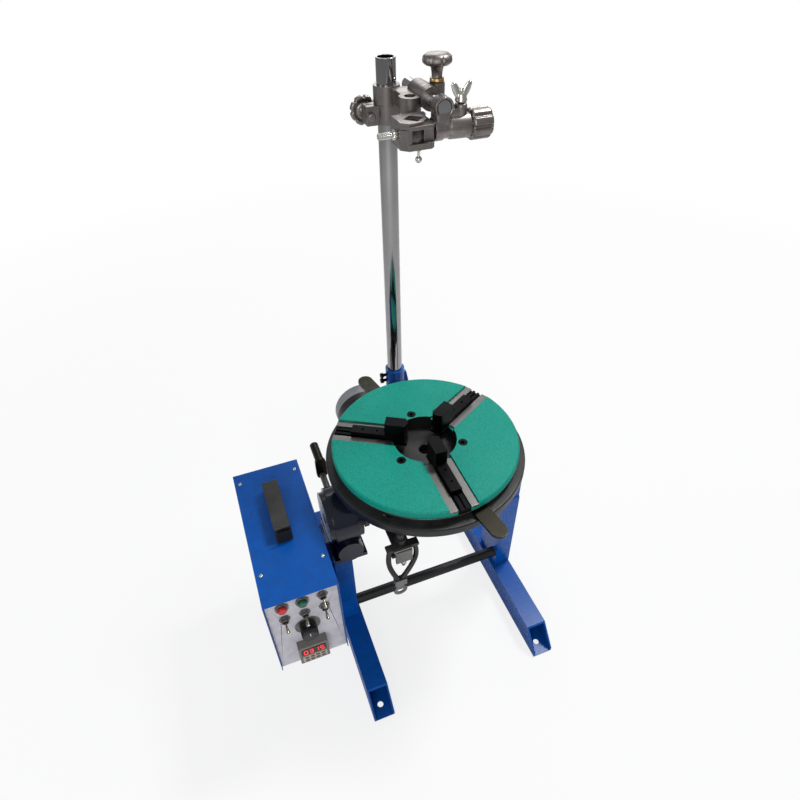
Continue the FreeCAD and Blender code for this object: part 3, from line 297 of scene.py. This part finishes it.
looks = {
    "blue_paint": (painted, dict(colour=(0.0, 0.090, 0.42), rough=0.26, peel=900.0, bump=0.08,
                                 wear=0.22, dust=0.01, gloss=0.3, under=(0.16, 0.17, 0.20))),
    "dark_blue_gloss": (painted, dict(colour=(0.003, 0.007, 0.020), rough=0.14, peel=420.0,
                                      bump=0.3, wear=0.25, dust=0.02, coat=0.2, gloss=0.35)),
    "black_paint": (painted, dict(colour=(0.008, 0.008, 0.009), rough=0.36, peel=520.0, bump=0.3,
                                  wear=0.4, dust=0.06, gloss=0.4)),
    "green_paint": (hammered, dict(colour=(0.0, 0.31, 0.235), rim=(0.0, 0.22, 0.165), rough=0.36,
                                   cells=620.0, grime=0.14, dirt=(0.0, 0.12, 0.09), bump=0.4,
                                   gloss=0.2, bore=0.0509)),
    "chrome_tube": (bareMetal, dict(colour=(0.40, 0.395, 0.40), stain=(0.28, 0.27, 0.27),
                                    rough=0.09, grain=120.0, bump=0.03, cutDeep=0.6)),
    "cast_aluminium": (bareMetal, dict(colour=(0.300, 0.270, 0.255), stain=(0.17, 0.150, 0.140),
                                       rough=0.36, grain=620.0, bump=0.22, wear=0.9)),
    "zinc_screws": (bareMetal, dict(colour=(0.74, 0.73, 0.68), stain=(0.50, 0.48, 0.42),
                                    rough=0.22, grain=600.0, bump=0.12)),
    "motor_cap_grey": (painted, dict(colour=(0.30, 0.31, 0.33), rough=0.42, peel=380.0, bump=0.3,
                                     wear=0.3, dust=0.25, dustColour=(0.16, 0.155, 0.15))),
    "turned_steel": (bareMetal, dict(colour=(0.235, 0.23, 0.225), stain=(0.14, 0.135, 0.125),
                                     rough=0.36, grain=420.0, bump=0.14)),
    "toggle_steel": (bareMetal, dict(colour=(0.52, 0.49, 0.40), stain=(0.30, 0.275, 0.21),
                                     rough=0.18, grain=700.0, bump=0.06)),
    "bronze_wheel": (bareMetal, dict(colour=(0.55, 0.36, 0.15), stain=(0.33, 0.21, 0.09),
                                     rough=0.34, grain=420.0, bump=0.12)),
    "black_steel": (bareMetal, dict(colour=(0.014, 0.014, 0.015), stain=(0.008, 0.008, 0.009),
                                    rough=0.36, grain=480.0, bump=0.18, wear=0.5)),
    "lever_steel": (bareMetal, dict(colour=(0.040, 0.036, 0.027), stain=(0.018, 0.017, 0.014),
                                    rough=0.34, grain=380.0, bump=0.25, wear=0.8)),
    "panel_face": (painted, dict(colour=(0.66, 0.64, 0.70), rough=0.40, peel=900.0, bump=0.06,
                                 wear=0.1, dust=0.02)),
    "black_plastic": (moulded, dict(colour=(0.010, 0.010, 0.011), rough=0.40, grain=1400.0,
                                    bump=0.3, dust=0.06)),
    "stop_red": (moulded, dict(colour=(0.60, 0.010, 0.02), rough=0.24, grain=900.0, bump=0.05,
                               dust=0.02)),
    "start_green": (moulded, dict(colour=(0.0, 0.11, 0.06), rough=0.24, grain=900.0, bump=0.05,
                                  dust=0.02)),
    "timer_grey": (moulded, dict(colour=(0.20, 0.18, 0.17), rough=0.46, grain=1200.0, bump=0.2,
                                 dust=0.04)),
    "carbon": (moulded, dict(colour=(0.030, 0.030, 0.032), rough=0.55, grain=1000.0, bump=0.3)),
    "lead_rubber": (moulded, dict(colour=(0.008, 0.008, 0.009), rough=0.36, grain=900.0,
                                  bump=0.2, dust=0.04)),
}
finishes = {slot: build(slot, look) for slot, (build, look) in looks.items()}
print("finishes", len(finishes))


softEdges = {
    "default": 0.0005, "leg_left": 0.0018, "leg_right": 0.0018, "column": 0.0006,
    "chuck_body": 0.0009, "jaw_1": 0.0009, "jaw_2": 0.0009, "jaw_3": 0.0009,
    "carry_handle": 0.0022, "tilt_gear_case": 0.0022, "turntable": 0.0012,
    "arm_carriage": 0.0012, "scroll_lever": 0.0012, "body_lever": 0.0012,
    "timer_module": 0.0007,
}


def evenNormals(thing):
    even = thing.modifiers.new("evenNormals", "WEIGHTED_NORMAL")
    even.keep_sharp = False
    even.weight = 80


def dressNode(name):
    # merge the loose triangles, round the sharp edges and even out the shading
    thing = nodes[name]
    thing.data.materials.clear()
    thing.data.materials.append(finishes[slotOf[name]])
    weld = thing.modifiers.new("weld", "WELD")
    weld.merge_threshold = 0.00002
    soft = thing.modifiers.new("roundedEdges", "BEVEL")
    soft.width = softEdges.get(name, softEdges["default"])
    soft.segments = 2
    soft.limit_method = "ANGLE"
    soft.angle_limit = math.radians(32)
    soft.harden_normals = False
    thing.data.polygons.foreach_set("use_smooth", [True] * len(thing.data.polygons))
    evenNormals(thing)


for name in nodes:
    dressNode(name)
print("nodes dressed", len(nodes))


axes = {"x": np.array([[0, 1, 0], [0, 0, 1], [1, 0, 0]]),
        "y": np.array([[0, 0, 1], [1, 0, 0], [0, 1, 0]]), "z": np.eye(3)}
facings = {"y": np.array([[1, 0, 0], [0, 0, 1], [0, -1, 0]]), "z": np.eye(3)}


def meshOf(name, points, faces, material, flatAngle=0.0):
    # faces turned outward, and flat neighbours merged where flatAngle is given
    mesh = bpy.data.meshes.new(name)
    mesh.from_pydata(np.concatenate(points).tolist(), [], faces)
    work = bmesh.new()
    work.from_mesh(mesh)
    bmesh.ops.recalc_face_normals(work, faces=work.faces)
    if flatAngle:
        bmesh.ops.dissolve_limit(work, angle_limit=flatAngle, verts=work.verts, edges=work.edges)
    work.to_mesh(mesh)
    work.free()
    mesh.materials.append(material)
    return mesh


def setPiece(name, data, node, instead):
    # a new object on the body of a CAD node, in that node's place if instead is true
    piece = bpy.data.objects.new(name, data)
    bpy.context.collection.objects.link(piece)
    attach(piece, bodyOf[node])
    if instead:
        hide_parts(node)
    return piece


def newPiece(name, node, grids, material=None, smooth=True, instead=False):
    # each grid has one closed loop of points a row, every row joined to the next. A plain grid
    # gets a flat cap at both ends, and one inside a tuple is joined last row to first.
    points, faces, start = [], [], 0
    for grid in grids:
        closed = isinstance(grid, tuple)
        spots = grid[0] if closed else grid
        rows, count = spots.shape[:2]
        index = np.arange(rows * count).reshape(rows, count) + start
        near, far = (index, np.roll(index, -1, axis=0)) if closed else (index[:-1], index[1:])
        quads = np.stack([near, np.roll(near, -1, axis=1), np.roll(far, -1, axis=1), far], axis=-1)
        faces += quads.reshape(-1, 4).tolist()
        if not closed:
            faces += [index[0][::-1].tolist(), index[-1].tolist()]
        points.append(spots.reshape(-1, 3))
        start += rows * count
    mesh = meshOf(name, points, faces, material or finishes[slotOf[node]])
    mesh.polygons.foreach_set("use_smooth", [smooth] * len(mesh.polygons))
    piece = setPiece(name, mesh, node, instead)
    if smooth:
        evenNormals(piece)
    return piece


def measured(profile, end=0.0):
    # (radius, distance) pairs in millimetres, the distance measured from an end of a CAD piece
    return np.array(profile, float) / 1000 + (0.0, end)


def turnedRings(profile, centre, along, count=48, notches=0, depth=0.0, width=0.22, inner=0.0):
    # radius cos(angle), radius sin(angle) and place for every (radius, place) of the profile,
    # place lying along the axis. Where the radius is over inner it is less by
    # depth exp(-(phase / width)^4), phase running from -0.5 to 0.5 across each notch.
    profile = np.asarray(profile, float)
    angle = np.linspace(0, 2 * pi, count, endpoint=False)
    radius = np.repeat(profile[:, :1], count, axis=1)
    if notches:
        phase = (angle * notches / (2 * pi) + 0.5) % 1.0 - 0.5
        dip = depth * np.exp(-(phase / width) ** 4)
        radius = radius - np.where(profile[:, :1] > inner, dip[None, :], 0.0)
    local = np.stack([radius * np.cos(angle), radius * np.sin(angle),
                      np.repeat(profile[:, 1:], count, axis=1)], axis=-1)
    return local @ axes[along] + np.asarray(centre)


def turnedOver(name, node, look, along, count, material=None, instead=True):
    # near is measured from the CAD piece's low end along the axis, far from its high end
    middle, low, high = boxOf(node)
    at = "xyz".index(along)
    middle[at] = 0.0
    profile = measured(look["near"], low[at])
    if "far" in look:
        profile = np.concatenate([profile, measured(look["far"], high[at])])
    rings = turnedRings(profile, look.get("axis", middle), along, count, **look.get("cuts", {}))
    return newPiece(name, node, [rings], material, instead=instead)


def slabRings(wide, tall, steps, centre, facing="y", power=10.0, count=48):
    # a rounded rectangle: across and up are |cos|^(2/power) and |sin|^(2/power) with their
    # signs kept, drawn in by each step's inset and set at its depth
    angle = np.linspace(0, 2 * pi, count, endpoint=False)
    bend = 2.0 / power
    across = np.sign(np.cos(angle)) * np.abs(np.cos(angle)) ** bend
    up = np.sign(np.sin(angle)) * np.abs(np.sin(angle)) ** bend
    rings = [np.stack([(wide / 2 - inset) * across, (tall / 2 - inset) * up,
                       np.full(count, depth)], axis=-1) for inset, depth in steps]
    return np.array(rings) @ facings[facing] + np.asarray(centre)


def boxOf(node):
    low, high = (np.array(corner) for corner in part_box(node))
    return (low + high) / 2, low, high


def plain(name, colour, rough=0.4, glow=0.0):
    # one colour with a faint grain, and its own light for the lit digits
    material, tree, shader = newMaterial(name, dict(rough=rough))
    skin = place(tree, "grain", Scale=900.0, Spread=0.3)
    shade = mix(tree, skin.outputs["Mask"], colour, tuple(c * 0.8 for c in colour))
    tree.links.new(shade, shader.inputs["Base Color"])
    bump(tree, shader, skin.outputs["Height"], 0.1, 0.0001)
    if glow:
        shader.inputs["Emission Color"].default_value = (*colour, 1.0)
        shader.inputs["Emission Strength"].default_value = glow
    return material


timerFace = {
    "rim": dict(wide=0.0478, tall=0.0478, steps=[(0.0, -0.0004), (0.0, 0.0), (0.0012, 0.0006),
                                                 (0.003, 0.0006), (0.0038, 0.0001),
                                                 (0.0042, 0.0001)]),
    "window": dict(wide=0.040, tall=0.017, steps=[(0.0, -0.0002), (0.0, 0.0007), (0.0006, 0.0010)]),
    "keypad": dict(wide=0.040, tall=0.018, steps=[(0.0, -0.0002), (0.0, 0.0007), (0.0005, 0.0010)]),
    "key": dict(wide=0.0062, tall=0.0042, steps=[(0.0, 0.0), (0.0, 0.0016), (0.0008, 0.0020)],
                power=4.0, count=20),
    "windowUp": 0.0095, "keypadDown": 0.0115, "pitch": 0.0088, "keyPitch": 0.0068,
    "keyColumns": (-1.5, -0.5, 0.5, 1.5), "keyRows": (-0.6, 0.6),
    "digits": "0315", "digitWide": 0.0052, "digitTall": 0.0105, "stroke": 0.0013,
    "upright": 0.86, "bar": dict(power=5.0, count=12),
}
strokesOf = {"0": "abcdef", "1": "bc", "3": "abcdg", "5": "acdfg"}


def digitStrokes(look, x, front, z):
    # up to seven short bars a digit: a to f clockwise from the top, and g across the middle
    wide, tall, thick = look["digitWide"] / 2, look["digitTall"] / 2, look["stroke"]
    lying, standing = (wide * 2, thick), (thick, tall * look["upright"])
    bars = {"a": (0, tall, lying), "d": (0, -tall, lying), "g": (0, 0, lying),
            "b": (wide, tall / 2, standing), "c": (wide, -tall / 2, standing),
            "f": (-wide, tall / 2, standing), "e": (-wide, -tall / 2, standing)}
    strokes = []
    for order, digit in enumerate(look["digits"]):
        middle = x + (order - (len(look["digits"]) - 1) / 2) * look["pitch"]
        for across, up, size in (bars[letter] for letter in strokesOf[digit]):
            strokes.append(slabRings(*size, [(0.0, 0.0), (0.0, thick)],
                                     (middle + across, front, z + up), **look["bar"]))
    return strokes


def buildTimer():
    look, node = timerFace, "timer_module"
    middle, low = boxOf(node)[:2]
    x, z, front = middle[0], middle[2], low[1]
    windowZ, keypadZ = z + look["windowUp"], z - look["keypadDown"]
    newPiece("timerRim", node, [slabRings(centre=(x, front, z), **look["rim"])])
    newPiece("timerWindow", node, [slabRings(centre=(x, front, windowZ), **look["window"])],
             plain("windowDark", (0.030, 0.006, 0.006), 0.16))
    newPiece("timerKeypad", node, [slabRings(centre=(x, front, keypadZ), **look["keypad"])],
             plain("keypadBeige", (0.48, 0.41, 0.36), 0.5))
    newPiece("timerDigits", node, digitStrokes(look, x, front, windowZ),
             plain("digitRed", (0.95, 0.03, 0.025), 0.4, 1.3), smooth=False)
    keys = [slabRings(centre=(x + across * look["pitch"], front, keypadZ + up * look["keyPitch"]),
                      **look["key"])
            for across in look["keyColumns"] for up in look["keyRows"]]
    newPiece("timerKeys", node, keys, plain("keyBrown", (0.12, 0.085, 0.065), 0.45))
    print("timer")


dial = {"marks": 11, "start": -60, "step": 30, "reach": 0.0172, "line": 0.0009, "thin": 0.0002,
        "short": 0.002, "long": 0.0032, "longEvery": 5, "offPanel": 0.0021}
knobFlutes = {"near": [(13.5, 12), (13.1, 3), (12.4, 0.8), (10.5, 0), (10, 0.6)],
              "cuts": dict(notches=24, depth=0.0007, width=0.3, inner=0.0118)}
knobPointer = {"line": 0.0012, "long": 0.0085, "up": 0.006}


def buildDial():
    # short black marks on an arc round the speed knob, flutes and a white pointer on the knob
    middle, low = boxOf("speed_knob")[:2]
    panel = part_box("front_panel")[0][1]
    marks = []
    for order in range(dial["marks"]):
        angle = math.radians(dial["start"] + dial["step"] * order)
        across, up = math.cos(angle), math.sin(angle)
        long = dial["short"] if order % dial["longEvery"] else dial["long"]
        mark = slabRings(dial["line"], long, [(0.0, 0.0), (0.0, dial["thin"])], (0, 0, 0),
                         power=6.0, count=8)
        turn = np.array([[up, 0, across], [0, 1, 0], [-across, 0, up]])
        marks.append(mark @ turn + (middle[0] + across * dial["reach"], panel - dial["offPanel"],
                                    middle[2] + up * dial["reach"]))
    newPiece("dialMarks", "panel_fittings", marks,
             plain("inkBlack", (0.02, 0.02, 0.022), 0.5), smooth=False)
    turnedOver("knobFlutes", "speed_knob", knobFlutes, "y", 120, instead=False)
    pointer = slabRings(knobPointer["line"], knobPointer["long"], [(0.0, -0.0002), (0.0, 0.0003)],
                        (middle[0], low[1] + 0.0001, middle[2] + knobPointer["up"]),
                        power=6.0, count=8)
    newPiece("knobPointer", "speed_knob", [pointer],
             plain("pointerWhite", (0.7, 0.7, 0.68), 0.4), smooth=False)
    print("dial")


# the two leads from the brush holder to the ring lug, in millimetres
leads = {
    "brush_lead_left": [(-111, -134, 383), (-116, -136, 365.4), (-114.5, -145, 345.6),
                        (-106.05, -150, 328)],
    "brush_lead_right": [(-73, -134, 383), (-68, -136, 365.4), (-79.5, -145, 345.6),
                         (-97.95, -150, 328)],
}
leadDiameter = 0.008


def lineLength(curve):
    # the length of the curve's own line, read back with no bevel
    bare = curve.copy()
    bare.bevel_depth = 0.0
    probe = bpy.data.objects.new("probe", bare)
    bpy.context.collection.objects.link(probe)
    line = bpy.data.meshes.new_from_object(probe)
    spots = np.array([v.co for v in line.vertices])
    bpy.data.objects.remove(probe)
    return float(np.linalg.norm(np.diff(spots, axis=0), axis=1).sum())


def buildLeads():
    for node, route in leads.items():
        name = "lead" + node.split("_")[-1].title()
        curve = bpy.data.curves.new(name, "CURVE")
        curve.dimensions = "3D"
        curve.bevel_depth = leadDiameter / 2
        curve.bevel_resolution = 6
        curve.use_fill_caps = True
        spline = curve.splines.new("NURBS")
        spline.points.add(len(route) - 1)
        for point, spot in zip(spline.points, route):
            point.co = (*(value / 1000 for value in spot), 1.0)
        spline.order_u = 3
        spline.use_endpoint_u = True
        curve.materials.append(finishes[slotOf[node]])
        piece = setPiece(name, curve, node, True)
        lineLength(curve)
    print("leads")


collarWheel = {
    "axis": (0.010, 0.0, 0.871), "cuts": dict(notches=8, depth=0.0022, width=0.14, inner=0.0165),
    "near": [(3.5, 0), (4.5, 0.8), (5.5, 1.6), (5.5, 6), (4, 6), (4, 28.6), (7, 28.6)],
    "far": [(7, -7), (14, -7), (14.5, -9), (19, -9), (20, -7.8), (20, -1.5), (18.5, 0),
            (11.5, 0), (10, -1), (6, -1)],
}
rodKnob = {
    "axis": (0.091, 0.190, 0.0), "cuts": dict(notches=8, depth=0.0011, width=0.10, inner=0.0158),
    "near": [(4, 0), (4, 16.3), (8.5, 16.3), (8.8, 17.3), (7, 23.3), (7.5, 28.3)],
    "far": [(9.2, -13.5), (16.5, -13), (19.4, -10.5), (20, -8), (19.2, -3.5), (15.5, -0.6),
            (10, 0), (3, 0)],
}
rodKnobFoot = {
    "axis": (0.091, 0.190, 0.0),
    "near": [(7.8, 16.5), (9.6, 16.7), (9.8, 17.7), (9.4, 20.9), (8, 21.9)],
}
shankWheel = {
    "axis": (0.0, 0.132, 0.876), "cuts": dict(notches=8, depth=0.0030, width=0.16, inner=0.0165),
    "near": [(11, 0)],
    "far": [(11, -30), (17.5, -30), (19.7, -28.4), (20, -26), (20, -4), (18.8, -1.2), (16, 0),
            (12, 0), (11, -2), (4, -2)],
}


def buildHandWheels():
    # the notched wheel behind the collar, the knob over the rod, and the wheel on the shank
    turnedOver("collarWheel", "collar_knob", collarWheel, "y", 128)
    turnedOver("rodKnob", "rod_knob", rodKnob, "z", 160)
    turnedOver("rodKnobFoot", "rod_knob", rodKnobFoot, "z", 48, finishes["bronze_wheel"], False)
    turnedOver("shankWheel", "torch_shank", shankWheel, "x", 128)
    print("hand wheels")


crossFitting = {
    "rod": (0.073, 0.0, 0.903), "shank": (0.0, 0.132, 0.876), "boss": (0.100, 0.132, 0.0),
    "rodRing": ([(9.2, 3), (12.2, 2), (13.2, 3)], [(13.2, -7), (12.2, -6), (9.2, -7)]),
    "shankRing": ([(11.2, 1), (14, 0), (15, 1), (15, 12), (13.2, 13.5), (13.2, 22), (15, 23.5)],
                  [(15.8, -10), (15.8, -1), (14.8, 0), (11.2, -1)]),
    "bossPost": [(4, 886), (8.5, 886), (8.5, 901), (7.5, 903.6), (4, 903.6)],
    "web": dict(wide=0.024, tall=0.022, power=5.0,
                steps=[(0.002, 0.878), (0.0, 0.882), (0.0, 0.896), (0.002, 0.898)]),
    "ear": dict(wide=0.030, tall=0.015, power=6.0,
                steps=[(0.002, 0.8880), (0.0, 0.8895), (0.0, 0.8985), (0.002, 0.9000)]),
}
wingNut = {
    "stem": [(2, 0), (4, 0), (4, 1.5), (7.5, 1.5), (8, 3.5), (6.2, 10), (5.2, 12.5), (3, 13),
             (3, 17.5), (2.2, 18.2)],
    "root": (0.0035, 0.0050), "reach": (0.0080, 0.0200), "half": 0.0016, "rows": 9, "round": 20,
}


def ringAround(look, low, high, centre, along):
    near, far = look
    profile = np.concatenate([measured(near, low), measured(far, high)])
    return (turnedRings(profile, centre, along, 64),)


def wingRings(side, centre):
    # t runs from 0 at the root to 1 at the tip, and the wing's middle leans outward by reach;
    # half its width is 0.9 (3 + 2.2 sin(pi min(1.05 t, 1)) + 1.2 t) mm, rounded off at the tip
    t = np.linspace(0.0, 1.0, wingNut["rows"])[:, None]
    angle = np.linspace(0, 2 * pi, wingNut["round"], endpoint=False)[None, :]
    wide = 0.0030 + 0.0022 * np.sin(pi * np.clip(t * 1.05, 0, 1)) + 0.0012 * t
    wide = wide * np.sqrt(np.clip(1 - np.clip((t - 0.82) / 0.19, 0, 1) ** 2, 0.05, 1))
    (rootX, rootZ), (reachX, reachZ) = wingNut["root"], wingNut["reach"]
    across = side * (rootX + reachX * t) + wide * np.cos(angle) * 0.9
    spots = np.broadcast_arrays(across, wingNut["half"] * np.sin(angle), rootZ + reachZ * t)
    return np.stack(spots, axis=-1) + centre


def buildCross():
    # a ring on the rod and a ring on the shank, joined by a web, with a boss for the wing nut
    look = crossFitting
    low, high = boxOf("cross_block")[1:]
    rod, shank, boss = (np.array(look[key]) for key in ("rod", "shank", "boss"))
    newPiece("crossFitting", "cross_block", [
        ringAround(look["rodRing"], low[1], high[1], rod, "y"),
        ringAround(look["shankRing"], low[0], high[0], shank, "x"),
        slabRings(centre=(rod[0], shank[1], 0.0), facing="z", **look["web"]),
        turnedRings(measured(look["bossPost"]), boss, "z", 40),
        slabRings(centre=((rod[0] + boss[0]) / 2, boss[1], 0.0), facing="z", **look["ear"]),
    ], instead=True)
    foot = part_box("wing_screw")[0][2]
    stem = turnedRings(measured(wingNut["stem"], foot), boss, "z", 32)
    wings = [wingRings(side, boss + (0.0, 0.0, foot)) for side in (-1, 1)]
    newPiece("wingNut", "wing_screw", [stem, *wings], instead=True)
    print("cross fitting")


# outlines in millimetres from the clamp's middle, each with its low and high level
diamond = [(-14.1, 0), (0, 14.1), (14.1, 0), (0, -14.1)]
torchCasting = [
    ([(-23, 23), (-23, -12), (-14, -21), (18, -21), (23, -16), (23, 23)], [diamond], -17.0, -8.7),
    ([(-23, 23), (-23, -14), (-17, -20), (-9.2, -20), (-9.2, -6.4), (-17, -6.4), (-17, 6.4),
      (-7.7, 6.4), (0, 14.1), (14.1, 0), (9.2, -4.9), (9.2, -14), (23, -14), (23, 23)], [],
     -8.8, 8.7),
    ([(-23, 23), (-23, -12), (-12, -23), (18, -23), (23, -18), (23, 23)], [diamond], 8.6, 13.5),
    ([(-23, 23), (-23, -13), (-14, -20), (-4, -20), (6, -17), (17.5, -5), (17.5, 6), (23, 14),
      (23, 23)], [diamond], 13.4, 17.0),
]
ballLever = {"ball": 0.0045, "drop": 0.0290, "forward": -0.018, "open": (0.06, 0.28), "rows": 14,
             "stem": [(1.9, -23.8), (1.9, -18), (3.4, -17.8), (3.4, -16)]}
torchGrip = {
    "axis": (0.0, 0.132, 0.876), "cuts": dict(notches=12, depth=0.0007, width=0.25, inner=0.0040),
    "near": [(3.5, 0), (4.3, 0.8), (4.3, 17.5), (3, 18.5), (3, 20), (6.5, 20), (6.5, 25.5),
             (3.5, 25.7)],
    "far": [(3.5, 0)],
}


def prism(outline, holes, low, high):
    # the flat outline with its holes, cut into triangles at both levels and joined by walls
    loops = [np.array(loop, float) for loop in (outline, *holes)]
    flat = np.concatenate(loops)
    tris = np.array(tessellate_polygon([[(*spot, 0.0) for spot in loop] for loop in loops]))
    count = len(flat)
    points = np.concatenate([np.column_stack([flat, np.full(count, level)])
                             for level in (low, high)])
    faces, start = tris.tolist() + (tris[:, ::-1] + count).tolist(), 0
    for loop in loops:
        here = np.arange(len(loop)) + start
        ahead = np.roll(here, -1)
        faces += np.stack([here, ahead, ahead + count, here + count], axis=-1).tolist()
        start += len(loop)
    return points / 1000, faces


def buildTorchBlock():
    # four flat layers make the casting, and a short lever with a ball hangs under it
    middle = boxOf("torch_block")[0]
    points, faces, start = [], [], 0
    for layer in torchCasting:
        spots, sides = prism(*layer)
        points.append(spots + middle)
        faces += [[corner + start for corner in side] for side in sides]
        start += len(spots)
    mesh = meshOf("torchCasting", points, faces, finishes[slotOf["torch_block"]], 0.02)
    piece = setPiece("torchCasting", mesh, "torch_block", True)
    soft = piece.modifiers.new("softEdges", "BEVEL")
    soft.width = 0.0009
    soft.segments = 2
    soft.limit_method = "ANGLE"
    soft.angle_limit = 0.6
    soft.harden_normals = False

    look = ballLever
    start, end = look["open"]
    t = np.linspace(start, pi - end, look["rows"])
    ball = np.column_stack([look["ball"] * np.sin(t), -look["drop"] - look["ball"] * np.cos(t)])
    profile = np.concatenate([ball, measured(look["stem"])])
    newPiece("ballLever", "torch_block",
             [turnedRings(profile, middle + (0.0, look["forward"], 0.0), "z", 32)],
             finishes["zinc_screws"])
    turnedOver("torchScrewGrip", "torch_jaw_screw", torchGrip, "x", 60)
    print("torch block")


brushClamp = {
    "plate": [(-15, 14), (15, 14), (10, -6), (-10, -6)], "plateUp": 0.016,
    "layers": ((1.0, -0.0004), (1.0, 0.0014), (0.94, 0.0020)), "boltUp": 0.008, "boltBack": 0.0015,
    "bolt": [(3, -20), (3, -13), (5.5, -13), (5.5, -7), (3, -7), (3, 0)],
}


def buildBrushClamp():
    # the bright tapered plate and its six-sided nut in front of the brush holder
    look = brushClamp
    middle, low = boxOf("brush_holder")[:2]
    line = np.array(look["plate"], float) / 1000
    corners = len(line)
    plate = np.array([np.column_stack([middle[0] + line[:, 0] * size,
                                       np.full(corners, low[1] - depth),
                                       low[2] + look["plateUp"] + line[:, 1] * size])
                      for size, depth in look["layers"]])
    bolt = turnedRings(measured(look["bolt"], low[2] + look["boltUp"]),
                       (middle[0], low[1] + look["boltBack"], 0.0), "z", 6)
    newPiece("brushClamp", "brush_holder", [plate, bolt], finishes["zinc_screws"], smooth=False)
    print("brush clamp")


lidScrew = {"side": 0.009, "front": 0.055, "back": 0.022,
            "head": [(3.2, -0.3), (3.2, 0.64), (2.4, 1.36), (1.12, 1.6), (0.96, 0.72)]}


def buildCover():
    # pan heads along both long edges of the lid, and a near black sheet in the open end of the tube
    # handle as painted shade
    look = lidScrew
    low, high = boxOf("box_cover")[1:]
    head = measured(look["head"], high[2])
    heads = [turnedRings(head, (x, y, 0.0), "z", 24)
             for x in (low[0] + look["side"], high[0] - look["side"])
             for y in (low[1] + look["front"], high[1] - look["back"])]
    newPiece("coverScrews", "box_cover", heads, finishes["zinc_screws"])
    middle, low, high = boxOf("carry_handle")
    # painted shade: a near black sheet across the handle's open end stands for the shade inside the
    # tube
    wall = 0.005
    mouth = slabRings(high[0] - low[0] - wall, high[2] - low[2] - wall,
                      [(0.0, -0.001), (0.0, 0.0002)], (middle[0], low[1], middle[2]), power=9.0)
    newPiece("handleMouthShade", "carry_handle", [mouth],
             plain("paintedMouthShade", (0.002, 0.002, 0.002), 0.8))
    print("cover")


for build in (buildTimer, buildDial, buildLeads, buildHandWheels, buildCross, buildTorchBlock,
              buildBrushClamp, buildCover):
    build()


view = {"lens": 26.56, "sensor": 36.0, "spot": (-0.2629, -0.6126, 1.1252),
        "across": (0.9345, -0.3553, -0.0179), "up": (0.2487, 0.6167, 0.7469),
        "back": (-0.2543, -0.7025, 0.6647)}
lamps = {  # place, size and power
    "key": ((1.0, 0.35, 2.4), 0.45, 34.0), "fill": ((-0.9, -2.1, 1.5), 1.2, 22.0),
    "back": ((0.6, 2.0, 1.7), 1.0, 8.0), "side": ((-2.2, 0.3, 1.6), 1.0, 8.0),
}
lampTarget = Vector((0.0, 0.05, 0.35))
backdrop = {"sky": 0.30, "inReflections": 0.10, "reach": 14.0, "level": -0.0005, "floor": 0.88,
            "fadeFrom": 0.7, "fadeTo": 2.4, "whiteNear": 0.80}


def setCamera():
    camera = bpy.data.objects.new("camera", bpy.data.cameras.new("camera"))
    bpy.context.collection.objects.link(camera)
    camera.data.lens = view["lens"]
    camera.data.sensor_width = view["sensor"]
    turn = Matrix((view["across"], view["up"], view["back"])).transposed().to_4x4()
    camera.matrix_world = Matrix.Translation(view["spot"]) @ turn
    bpy.context.scene.camera = camera


def setLamps():
    for name, (where, size, power) in lamps.items():
        lamp = bpy.data.lights.new(name, "AREA")
        lamp.size = size
        lamp.energy = power
        thing = bpy.data.objects.new(name, lamp)
        bpy.context.collection.objects.link(thing)
        thing.location = where
        thing.rotation_mode = "QUATERNION"
        thing.rotation_quaternion = (lampTarget - Vector(where)).to_track_quat("-Z", "Y")


def setWorld():
    # plain white to the camera, a little of it in reflections, and a dim sky as light
    world = bpy.data.worlds.new("studio")
    bpy.context.scene.world = world
    world.use_nodes = True
    tree = world.node_tree
    seen = add(tree, "LightPath")
    either = calc(tree, "MAXIMUM", seen.outputs["Is Camera Ray"],
                  calc(tree, "MULTIPLY", seen.outputs["Is Glossy Ray"], backdrop["inReflections"]))
    sky = add(tree, "Background", {"Color": (0.9, 0.92, 0.95, 1), "Strength": backdrop["sky"]})
    white = add(tree, "Background", {"Color": (0.97, 0.97, 0.97, 1), "Strength": 1.0})
    both = add(tree, "MixShader", {0: either, 1: sky.outputs[0], 2: white.outputs[0]})
    tree.links.new(both.outputs[0], tree.nodes["World Output"].inputs["Surface"])


def setFloor():
    # takes the object's shadow close by and fades to plain white further out
    mesh = bpy.data.meshes.new("floor")
    reach, level = backdrop["reach"], backdrop["level"]
    mesh.from_pydata([(-reach, -reach, level), (reach, -reach, level),
                      (reach, reach, level), (-reach, reach, level)], [], [(0, 1, 2, 3)])
    floor = bpy.data.objects.new("floor", mesh)
    bpy.context.collection.objects.link(floor)
    material, tree, shader = newMaterial("floorPaper", dict(rough=0.9, gloss=0.1))
    shader.inputs["Base Color"].default_value = (*[backdrop["floor"]] * 3, 1)
    paper = add(tree, "Emission", {"Color": (1.0, 1.0, 1.0, 1), "Strength": 1.0})
    away = add(tree, "VectorMath", {0: add(tree, "TexCoord").outputs["Object"]}, operation="LENGTH")
    white = ramp(tree, away.outputs["Value"], backdrop["fadeFrom"], backdrop["fadeTo"],
                 backdrop["whiteNear"], 1.0)
    lit = calc(tree, "MULTIPLY", add(tree, "LightPath").outputs["Is Camera Ray"], white)
    shown = add(tree, "MixShader", {0: lit, 1: shader.outputs[0], 2: paper.outputs[0]})
    tree.links.new(shown.outputs[0], tree.nodes["Material Output"].inputs["Surface"])
    mesh.materials.append(material)


setCamera()
setLamps()
setWorld()
setFloor()
bpy.context.scene.view_settings.view_transform = "Standard"
print("studio")
